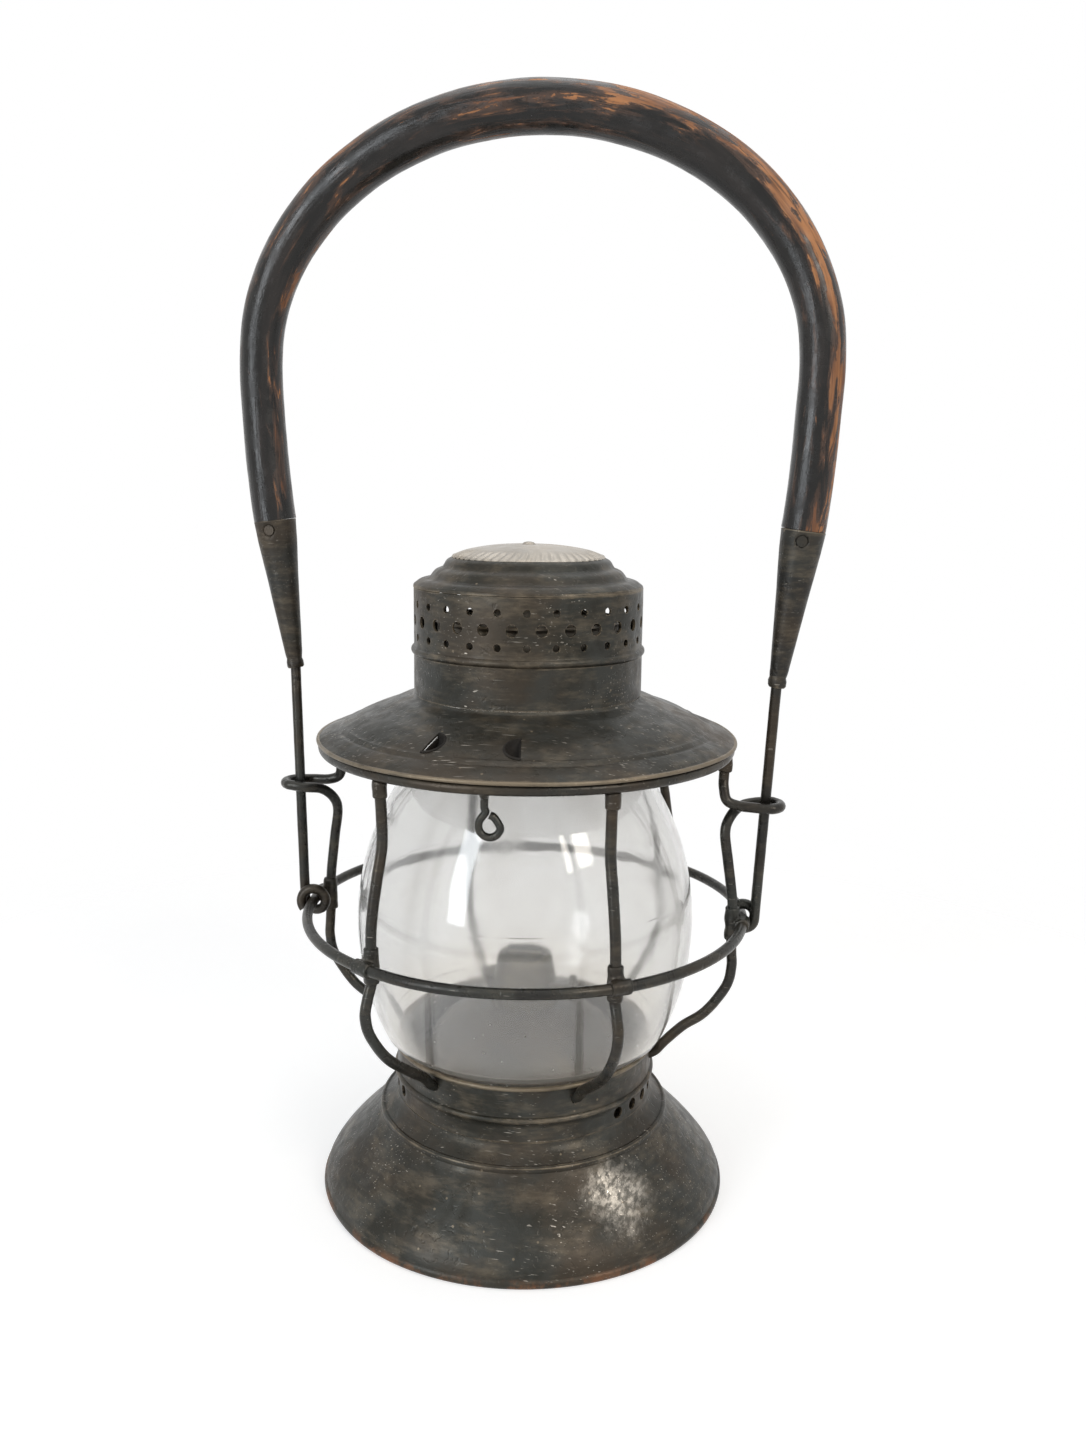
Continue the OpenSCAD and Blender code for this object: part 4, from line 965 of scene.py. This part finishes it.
def loop_way():
    at = leg_foot() + (leg_head() - leg_foot()) * (LOOP_Z - GUARD_Z) / (TIP_Z - GUARD_Z)
    reach = 2 * WIRE_R + (LOOP_Z - GUARD_Z) * math.sin(math.radians(2)) + 0.3
    x, y, z = at.x, at.y, LOOP_Z
    turn = [(x + reach * math.cos(math.radians(a)), y + reach * math.sin(math.radians(a)), z)
            for a in range(-70, 71, 20)]
    return ([(UPRIGHT_TOP[0], 0, UPRIGHT_TOP[1]), (TOP_RING_R - 1.4, 0, TOP_RING_Z - 5),
             (TOP_RING_R - 1.7, -0.1, TOP_RING_Z - 10), (TOP_RING_R - 1.5, -1.2, z + 7),
             (TOP_RING_R - 0.2, -2.2, z + 2.4), (TOP_RING_R + 3.8, y - reach + 0.4, z + 0.6),
             (x - 4, y - reach, z + 0.2)] + turn
            + [(x - 4, y + reach - 0.4, z - 0.6), (TOP_RING_R + 4.6, y + 2.2, z - 1.6),
               (TOP_RING_R + 1, 2, z - 5.4), (TOP_RING_R - 0.4, 0.4, z - 11),
               (TOP_RING_R + 1.2, 0, z - 22), (TRACK_R - 0.35, 0, GUARD_Z + 9)]
            + [(r, 0, h) for r, h in lower_way(0)])


def hoop(radius, z, wire, rounds):
    return spun([[(radius + wire * math.cos(a), z + wire * math.sin(a))
                  for a in (math.tau * k / 24 for k in range(24))]], rounds)


class LANTERN_OT_guard(bpy.types.Operator):
    """Bends the round guard wire, the top ring and the six uprights"""
    bl_idname = "lantern.guard"
    bl_label = "Wire Guard"

    def execute(self, context):
        sizes = context.scene.lantern_sizes
        wire = finishes(context.scene.lantern_colours)["guard_wire"]
        for name, radius, z, node in (("guard_hoop", GUARD_R, GUARD_Z, "guard_ring"),
                                      ("top_hoop", TOP_RING_R, TOP_RING_Z, "top_ring")):
            shape = hoop(radius, z, WIRE_R, sizes.rounds)
            waver(shape, sizes.wire_waver, 26, radius)
            add_piece(name, shape, wire, "frame", [node], edges=False)
        plain = [(r, 0, z) for r, z in smooth(UPPER_WAY + lower_way(1.5), 9)]
        looped = smooth(loop_way(), 7)
        for name, way, angle, node in (
                ("upright_front_left", plain, -120, "guard_wire_front_left"),
                ("upright_front_right", plain, -56.5, "guard_wire_front_right"),
                ("upright_back_right", plain, 50.5, "guard_wire_back_right"),
                ("upright_back_left", plain, 120, "guard_wire_back_left"),
                ("looped_upright_right", looped, 0, "loop_wire_right"),
                ("looped_upright_left", looped, 180, "loop_wire_left")):
            shape = placed(swept(way, even(way)), turned(angle, "Z"))
            waver(shape, sizes.wire_waver, 40, angle / 60)
            waver(shape, 0.05 * MM, 260, angle / 50)
            add_piece(name, shape, wire, "frame", [node], edges=False)
        return {"FINISHED"}


class LANTERN_OT_clips(bpy.types.Operator):
    """Wraps and solders a clip at each crossing and under the top ring"""
    bl_idname = "lantern.clips"
    bl_label = "Clips"

    def execute(self, context):
        wire = finishes(context.scene.lantern_colours)["guard_wire"]
        crossing_r, head_r = 2.8, 2.7
        crossings = bmesh.new()
        heads = bmesh.new()
        for angle in UPRIGHT_ANGLES:
            spin = turned(angle - 90, "Z")
            cylinder(crossings, crossing_r, 13, spin @ moved(TRACK_R, 0, GUARD_Z))
            cylinder(crossings, crossing_r, 7.6, spin @ moved(GUARD_R, 0, GUARD_Z) @ turned(90, "X"))
            cylinder(heads, head_r, 6.2, spin @ moved(UPRIGHT_TOP[0], 0, UPRIGHT_TOP[1] - 3))
        for name, shape, node in (("crossing_clips", crossings, "ring_clips"),
                                  ("head_clips", heads, "top_clips")):
            shape = with_modifier(shape, "REMESH", mode="VOXEL", voxel_size=0.45 * MM)
            for _ in range(6):
                bmesh.ops.smooth_vert(shape, verts=shape.verts, factor=0.5, use_axis_x=True, use_axis_y=True,
                                      use_axis_z=True)
            waver(shape, 0.35 * MM, 330, 4)
            add_piece(name, shape, wire, "frame", [node], edges=False)
        return {"FINISHED"}


# Lid

BRIM_SHAPE = [(0.16, 0.845), (0.30, 0.71), (0.44, 0.60), (0.58, 0.465), (0.68, 0.345), (0.715, 0.315)]
RIDGE_SHAPE = [(0.745, 0.262), (0.765, 0.232), (0.80, 0.212), (0.90, 0.125)]
LOUVRES = ((-20.5, 1), (9.5, -1))
LOUVRE_R = 5.5
SCOOP_R = 6.5
# Radius of the dark sheet that stands in for the shade inside each louvre
SHADE_SHEET_R = 5.6


def brim_outline():
    span = BRIM_R - NECK_R
    line = smooth([(NECK_R, BRIM_TOP_Z), (NECK_R + 0.7, BRIM_TOP_Z - 1), (NECK_R + 2.4, BRIM_TOP_Z - 1.7)], 4)
    line += smooth([(NECK_R + a * span, BRIM_EDGE_Z + b * BRIM_RISE) for a, b in BRIM_SHAPE], 6)
    line += smooth([(NECK_R + a * span, BRIM_EDGE_Z + b * BRIM_RISE) for a, b in RIDGE_SHAPE], 4)
    return evened(line + [(BRIM_R - 0.75, BRIM_EDGE_Z + 0.4)], 1.4)


class LANTERN_OT_brim(bpy.types.Operator):
    """Spins the lid's brim, with its two louvres, their insides dark with painted shade, and a shallow dent
    """
    bl_idname = "lantern.brim"
    bl_label = "Brim"

    def execute(self, context):
        sizes = context.scene.lantern_sizes
        tin = finishes(context.scene.lantern_colours)["japanned_tin"]
        brim = spun([strip(brim_outline(), -SHEET)], sizes.rounds)
        cutter = bmesh.new()
        for angle, side in LOUVRES:
            place = self.at_louvre(angle, side)
            half = bmesh.new()
            cylinder(half, LOUVRE_R, 6, place @ turned(2.7, "Z"), 48)
            self.keep_half(half, place)
            join(cutter, half)
        brim = cut(brim, cutter)
        join(brim, spun([arc(BRIM_R - 0.75, BRIM_EDGE_Z, 0.75, 0, 330, 11)], sizes.rounds))
        for angle, side in LOUVRES:
            place = self.at_louvre(angle, side)
            scoop = bmesh.new()
            bmesh.ops.create_uvsphere(scoop, u_segments=64, v_segments=48, radius=SCOOP_R * MM,
                                      matrix=place @ moved(0, 0, 2.4))
            self.sliced(scoop, place, 0.3, (0, 0, -1), clear_inner=True)
            self.keep_half(scoop, place, fill=False)
            bmesh.ops.solidify(scoop, geom=scoop.faces[:], thickness=0.8 * MM)
            # A dark sheet closes the scoop's open side, as painted shade where the louvre falls into shadow
            shade_sheet = bmesh.new()
            cylinder(shade_sheet, SHADE_SHEET_R, 0.6, place @ moved(0, 0.35, 2.4) @ turned(90, "X"), 48)
            self.sliced(shade_sheet, place, -0.7, (0, 0, 1), clear_outer=True)
            bmesh.ops.holes_fill(shade_sheet, edges=shade_sheet.edges[:], sides=0)
            join(scoop, shade_sheet)
            # The scoops and the sheet take the second finish, which is near-black painted shade
            for face in scoop.faces:
                face.material_index = 1
            join(brim, scoop)
        waver(brim, sizes.dent, 24, 5)
        dent(brim, (62, 24, 190), 14, (-0.4, -0.2, -1.4))
        piece = add_piece("brim", brim, tin, "lid", ["lid_brim"])
        piece.data.materials.append(made_once("sooty_tin", sooty_tin, context.scene.lantern_colours))
        return {"FINISHED"}

    @staticmethod
    def at_louvre(angle, side):
        span = BRIM_R - NECK_R
        tilt = math.degrees(math.atan(0.964 * BRIM_RISE / span))
        out = moved(NECK_R + 0.545 * span, 0, BRIM_EDGE_Z + BRIM_RISE * 0.5 - 0.45)
        return turned(angle - 90, "Z") @ out @ turned(tilt, "Y") @ turned(90 - 90 * side, "Z")

    @staticmethod
    def sliced(shape, place, height, facing, **clear):
        """Cuts a shape along a plane of the louvre's own frame, and clears one side of it."""
        return bmesh.ops.bisect_plane(shape, geom=shape.verts[:] + shape.edges[:] + shape.faces[:],
                                      plane_co=(place @ moved(0, 0, height)).translation,
                                      plane_no=place.to_3x3() @ Vector(facing), **clear)

    def keep_half(self, shape, place, fill=True):
        cut_at = self.sliced(shape, place, 0, (0, 1, 0), clear_inner=True)
        if fill:
            edges = [e for e in cut_at["geom_cut"] if isinstance(e, bmesh.types.BMEdge)]
            bmesh.ops.edgenet_fill(shape, edges=edges)
            bmesh.ops.recalc_face_normals(shape, faces=shape.faces)


# Height, radius and shift of each row of vent holes, and the ends of each step of the crown
VENT_ROWS = ((VENT_MID_Z - 6, 1.35, 0), (VENT_MID_Z, 2.15, 0.5), (VENT_MID_Z + 6, 1.35, 0))
CROWN_STEPS = ((0.23, 0.03, 0.70, 0.944), (0.58, 0.26, 0.32, 0.64), (0.99, 0.62, 0.085, 0.27))


class LANTERN_OT_stack(bpy.types.Operator):
    """Spins the neck, the pierced vent band, the stepped crown and the crimped cap"""
    bl_idname = "lantern.stack"
    bl_label = "Vent Stack"

    def execute(self, context):
        sizes = context.scene.lantern_sizes
        finish = finishes(context.scene.lantern_colours)
        tin = finish["japanned_tin"]
        neck = spun([strip(evened([(NECK_R, VENT_Z), (NECK_R, BRIM_TOP_Z)], 1.0), -SHEET)], sizes.rounds)
        waver(neck, sizes.dent * 0.8, 30, 6)
        add_piece("neck", neck, tin, "lid", ["lid_neck"])

        bead = arc(NECK_R - 0.4, VENT_Z + 1.5, 1.5, 70, -90, 10)
        wall = evened([(NECK_R, CROWN_Z), (NECK_R, VENT_Z + 3.2)], 0.9)
        inner = evened([(NECK_R - 0.9, VENT_Z), (NECK_R - 0.9, CROWN_Z)], 0.9)
        band = spun([wall + bead + inner], sizes.rounds)
        waver(band, sizes.dent * 0.7, 28, 7)
        cutter = bmesh.new()
        for z, radius, shift in VENT_ROWS:
            for i in range(sizes.vent_holes):
                angle = 3.8 + (i + shift) * 360 / sizes.vent_holes
                cylinder(cutter, radius, 6, turned(angle, "Z") @ moved(NECK_R, 0, z) @ turned(90, "Y"))
        add_piece("vent_band_pierced", cut(band, cutter), tin, "lid", ["vent_band"])

        span = NECK_R - CAP_R
        line = []
        for r0, r1, z0, z1 in CROWN_STEPS:
            a = Vector((CAP_R + r0 * span, CROWN_Z + z0 * CROWN_H))
            b = Vector((CAP_R + r1 * span, CROWN_Z + z1 * CROWN_H))
            middle = (a + b) / 2 + 0.12 * Vector((b.y - a.y, a.x - b.x))
            line += smooth([a, middle, b], 4)[::-1]
        line += [Vector((NECK_R, CROWN_Z + 0.5)), Vector((NECK_R, CROWN_Z))]
        steps = spun([strip(line, -SHEET)], sizes.rounds)
        waver(steps, sizes.dent * 0.8, 34, 8)
        add_piece("crown_steps", steps, tin, "lid", ["crown"])

        top = [(0, CAP_Z + CAP_H)] + [tuple(p) for p in smooth(
            [(CAP_R * 0.2, CAP_Z + CAP_H * 0.985), (CAP_R * 0.5, CAP_Z + CAP_H * 0.86),
             (CAP_R * 0.8, CAP_Z + CAP_H * 0.52), (CAP_R, CAP_Z + 0.2)], 8)]
        top += [(CAP_R + 0.5, CAP_Z - 0.5), (CAP_R - 0.6, CAP_Z - 0.6)]
        top += [(CAP_R * 0.8, CAP_Z + CAP_H * 0.52 - 0.8), (CAP_R * 0.5, CAP_Z + CAP_H * 0.86 - 0.8),
                (0, CAP_Z + CAP_H - 0.8)]
        cap = spun([top], sizes.crimps * 6)
        for v in cap.verts:
            radius = math.hypot(v.co.x, v.co.y) / MM
            angle = math.atan2(v.co.y, v.co.x)
            swing = angle * sizes.crimps + (radius - CAP_R) * 0.35 + 2.0 * noise.noise(v.co * 90)
            depth = (0.5 + 0.35 * noise.noise(v.co * 160)) * ramped(radius, CAP_R * 0.72, CAP_R * 0.9)
            v.co.z -= MM * depth * (0.5 + 0.5 * math.sin(swing)) ** 2
        waver(cap, 0.2 * MM, 60, 9)
        add_piece("crimped_cap", cap, finish["cap_tin"], "lid", ["crown_cap"])
        return {"FINISHED"}


class LANTERN_OT_catch(bpy.types.Operator):
    """Bends the finger hook of the lid catch"""
    bl_idname = "lantern.catch"
    bl_label = "Lid Catch"

    def execute(self, context):
        wire = finishes(context.scene.lantern_colours)["guard_wire"]
        wire_r, length, reach, catch_r, catch_z = 1.35, 18.0, 3.65, 70.1, TOP_RING_Z - 1.27
        eye = 1.2 + 0.05 + wire_r
        x, z = 1.6, -length + reach + wire_r
        way = smooth([(0, -eye), (-0.1, -eye - 4), (0.3, z + 4.9), (x - reach + 0.5, z + 2.2)]
                     + arc(x, z, reach, 180, 360, 6) + [(x + 1.7, z + 3.2), (x + 0.2, z + 4)], 8)
        hook = swept([(p.x, 0, p.y) for p in way], even(way, wire_r))
        ring = hoop(eye, 0, wire_r, 48)
        placed(ring, turned(90, "Y"))
        join(hook, ring)
        placed(hook, moved(0, -catch_r, catch_z))
        add_piece("finger_hook", hook, wire, "catch", ["lid_catch"], edges=False)
        return {"FINISHED"}


# Bail

def grip_way():
    wide, high = BAIL_R - GRIP_END_X, BAIL_WIDE_Z - GRIP_END_Z
    side = [(GRIP_END_X, GRIP_END_Z + 0.15), (GRIP_END_X + 6 * math.tan(LEG_TILT), GRIP_END_Z + 6),
            (GRIP_END_X + 0.62 * wide, GRIP_END_Z + 0.38 * high),
            (GRIP_END_X + 0.9 * wide, GRIP_END_Z + 0.7 * high)]
    arch = [(BAIL_R * math.cos(math.radians(a)), BAIL_WIDE_Z + CROWN_RISE * math.sin(math.radians(a)))
            for a in range(0, 181, 10)]
    way = smooth(side + arch + [(-x, z) for x, z in side[::-1]], 16)
    return [Vector((p.x, 0, p.y)) for p in way]


def bared_at(place, out, front):
    """How far the paint is gone at a point of the grip: out is 1 on the outside of the bend."""
    x, z = place.x / MM, place.z / MM
    right = ramped(x, -40, 50)
    high = ramped(z, 300, 380)
    shoulder = right * ramped(out, -0.35, 0.6) * (0.56 + 0.06 * high)
    crest = ramped(z, 376, 398) * (0.30 + 0.14 * ramped(out, 0, 0.9)) * ramped(abs(x - 6), 70, 16)
    left = (1 - right) * ramped(out, -0.2, 0.7) * high * 0.42
    inner_left = (1 - ramped(x, -80, -40)) * ramped(out, -0.3, -0.95) * 0.34
    low_right = ramped(x, 70, 95) * ramped(front, 0, 1) * 0.16
    return max(shoulder, crest, left, inner_left, low_right) - 0.06


class LANTERN_OT_grip(bpy.types.Operator):
    """Bends the painted wooden grip"""
    bl_idname = "lantern.grip"
    bl_label = "Grip"

    def execute(self, context):
        wood = finishes(context.scene.lantern_colours)["painted_wood"]
        way = grip_way()
        radii = [GRIP_R + GRIP_SWELL * max(0.0, (p.z - BAIL_WIDE_Z) / CROWN_RISE) ** 1.5 for p in way]
        grip = swept(way, radii, 11)
        tree = KDTree(len(way))
        for i, p in enumerate(way):
            tree.insert(p * MM, i)
        tree.balance()
        runs = [0.0]
        for a, b in zip(way, way[1:]):
            runs.append(runs[-1] + (b - a).length)
        straight = grip.verts.layers.float_vector.new("along")
        bared = grip.verts.layers.float.new("bared")
        for v in grip.verts:
            _, i, _ = tree.find(v.co)
            run = (way[min(len(way) - 1, i + 1)] - way[max(0, i - 1)]).normalized()
            outward = Vector((run.z, 0, -run.x))
            off = v.co - way[i] * MM
            out = off.dot(outward) / (radii[i] * MM)
            v[straight] = (off.y, off.dot(outward), runs[i] * MM)
            v[bared] = bared_at(v.co, out, -off.y / (radii[i] * MM))
            lumps = noise.noise(Vector((off.y, off.dot(outward), runs[i] * MM * 0.25)) * 260)
            v.co += off.normalized() * lumps * 0.16 * MM
        waver(grip, 0.3 * MM, 22, 10)
        add_piece("wooden_grip", grip, wood, "bail", ["bail_grip"], edges=False)
        return {"FINISHED"}


class LANTERN_OT_ferrules(bpy.types.Operator):
    """Rolls the two tapered ferrules"""
    bl_idname = "lantern.ferrules"
    bl_label = "Ferrules"

    def execute(self, context):
        tin = made_once("ferrule_tin", ferrule_metal, context.scene.lantern_colours)
        top = 7.8
        long = FERRULE_L
        line = [(2.1, 0), (2.9, 0), (3.3, 0.6), (3.35, 2.4), (3.05, 3.6)]
        line += evened([(3.2, 4.6), (4.05, long * 0.25), (top * 0.76, long * 0.62), (top * 0.95, long * 0.87),
                        (top + 0.02, long - 0.8)], 1.0)
        line += [(top + 0.1, long - 0.3), (top, long), (top - 0.8, long)]
        line += evened([(top * 0.95 - 0.8, long * 0.87), (top * 0.76 - 0.9, long * 0.62), (2.1, long * 0.25),
                        (2.1, 1.0)], 1.5)
        for side, name, node in ((1, "ferrule_tin_right", "ferrule_right"),
                                 (-1, "ferrule_tin_left", "ferrule_left")):
            shape = spun([line], 72)
            self.roll(shape, side)
            placed(shape, moved(side * TIP_X, 0, TIP_Z) @ turned(side * math.degrees(LEG_TILT), "Y"))
            waver(shape, 0.12 * MM, 90, side)
            add_piece(name, shape, tin, "bail", [node])
        return {"FINISHED"}

    @staticmethod
    def roll(shape, side):
        """Presses in the nail's hole, and gives the tip its lumps of solder."""
        nail = Vector((0, -7.5 * MM, (FERRULE_L - 3.6) * MM))
        for v in shape.verts:
            near = v.co - nail
            if v.co.y < 0 and near.length < 3.4 * MM:
                v.co.y += 1.5 * MM * (1 - ramped(near.length, 1.5 * MM, 2.5 * MM))
            low = 1 - ramped(v.co.z, 3 * MM, 9 * MM)
            radial = Vector((v.co.x, v.co.y, 0))
            if radial.length > 2.5 * MM:
                v.co += radial.normalized() * low * 0.3 * MM * noise.noise(v.co * 420 + Vector((side, 0, 0)))


class LANTERN_OT_legs(bpy.types.Operator):
    """Draws the two bail legs, each wrapped in an eye round the guard wire"""
    bl_idname = "lantern.legs"
    bl_label = "Bail Legs"

    def execute(self, context):
        wire = finishes(context.scene.lantern_colours)["guard_wire"]
        head = leg_head() + 2.4 * (leg_head() - leg_foot()).normalized()
        straight = evened([head, leg_foot() + (leg_head() - leg_foot()) * 0.03], 3.0)
        coil = []
        steps, turns, rise = 39, 1.12, 4.1
        for k in range(steps + 1):
            turn = k / steps * turns
            angle = -math.tau * turn
            coil.append(Vector((EYE_X + EYE_R * math.cos(angle), EYE_SHIFT + rise * turn,
                                GUARD_Z + EYE_R * math.sin(angle))))
        way = straight + coil
        for angle, name, node in ((0, "bail_wire_right", "bail_leg_right"),
                                  (180, "bail_wire_left", "bail_leg_left")):
            shape = placed(swept(way, even(way)), turned(angle, "Z"))
            waver(shape, 0.05 * MM, 240, angle / 70)
            add_piece(name, shape, wire, "bail", [node], edges=False)
        return {"FINISHED"}


# Fount

class LANTERN_OT_fount(bpy.types.Operator):
    """Spins the fount's domed top, and cuts the filler's hole"""
    bl_idname = "lantern.fount"
    bl_label = "Fount"

    def execute(self, context):
        tin = finishes(context.scene.lantern_colours)["fount_tin"]
        r, z, h, burner = 38.5, 54.0, 19.0, 13.5
        line = [Vector((r, z)), Vector((r, z + 0.8))] + smooth(
            [(r * 0.975, z + h * 0.22), (r * 0.86, z + h * 0.52), (r * 0.66, z + h * 0.78),
             (burner + 1.4, z + h * 0.95)], 8) + [Vector((burner - 1.5, z + h))]
        dome = spun([strip(line, 0.9)], 128)
        cutter = bmesh.new()
        filler_r, out, at = 4.95, 27, math.radians(125)
        cylinder(cutter, filler_r, 40, moved(out * math.cos(at), out * math.sin(at), 70))
        dome = cut(dome, cutter)
        add_piece("fount_top", dome, tin, "fount", ["fount_dome"])
        return {"FINISHED"}


KEPT_NODES = {
    "worn_tin": ("foot_hem_wire", "globe_seat", "fount_sleeve", "fount_catches", "globe_retainer",
                 "hinge_strap"),
    "cap_tin": ("cap_stud", "draught_tube"),
    "guard_wire": ("catch_lug", "catch_pin", "ferrule_nails"),
    "fount_tin": ("fount_pot", "fount_lugs", "filler_neck"),
    "burner_brass": ("filler_cap", "burner_collar", "burner_cone", "wick_tube", "raiser_shaft", "spur_wheel",
                     "thumb_wheel"),
    "wick_cotton": ("wick",),
}


class LANTERN_OT_inner_parts(bpy.types.Operator):
    """Gives the frame's own inner parts their finish"""
    bl_idname = "lantern.inner_parts"
    bl_label = "Inner Parts"

    def execute(self, context):
        finish = finishes(context.scene.lantern_colours)
        for kind, nodes in KEPT_NODES.items():
            for node in nodes:
                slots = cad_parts[node].material_slots
                if not slots:
                    raise RuntimeError(f"{node} has no material slot")
                for slot in slots:
                    slot.material = finish[kind]
        return {"FINISHED"}


class LANTERN_PT_sidebar(bpy.types.Panel):
    """Lists the pieces of the lantern"""
    bl_idname = "LANTERN_PT_sidebar"
    bl_label = "Signal Lantern"
    bl_space_type = "VIEW_3D"
    bl_region_type = "UI"
    bl_category = "Lantern"

    def draw(self, context):
        for name, _ in GROUPS:
            group = getattr(context.scene, name)
            box = self.layout.box()
            for key in group.__annotations__:
                box.prop(group, key)
        for operator in OPERATORS:
            self.layout.operator(operator.bl_idname)


OPERATORS = (LANTERN_OT_stage, LANTERN_OT_base, LANTERN_OT_globe, LANTERN_OT_guard, LANTERN_OT_clips,
             LANTERN_OT_brim, LANTERN_OT_stack, LANTERN_OT_catch, LANTERN_OT_grip, LANTERN_OT_ferrules,
             LANTERN_OT_legs, LANTERN_OT_fount, LANTERN_OT_inner_parts)
GROUPS = (("lantern_sizes", LanternSizes), ("lantern_colours", LanternColours),
          ("lantern_stage", LanternStage))


def register():
    for name, group in GROUPS:
        bpy.utils.register_class(group)
        setattr(bpy.types.Scene, name, bpy.props.PointerProperty(type=group))
    for cls in OPERATORS + (LANTERN_PT_sidebar,):
        bpy.utils.register_class(cls)


def unregister():
    for cls in (LANTERN_PT_sidebar,) + OPERATORS[::-1]:
        bpy.utils.unregister_class(cls)
    for name, group in GROUPS[::-1]:
        delattr(bpy.types.Scene, name)
        bpy.utils.unregister_class(group)


def plain(box):
    return [[float(c) for c in corner] for corner in box]


def main():
    register()
    for operator in OPERATORS:
        getattr(bpy.ops.lantern, operator.bl_idname.split(".")[1])()


if __name__ == "__main__":
    main()
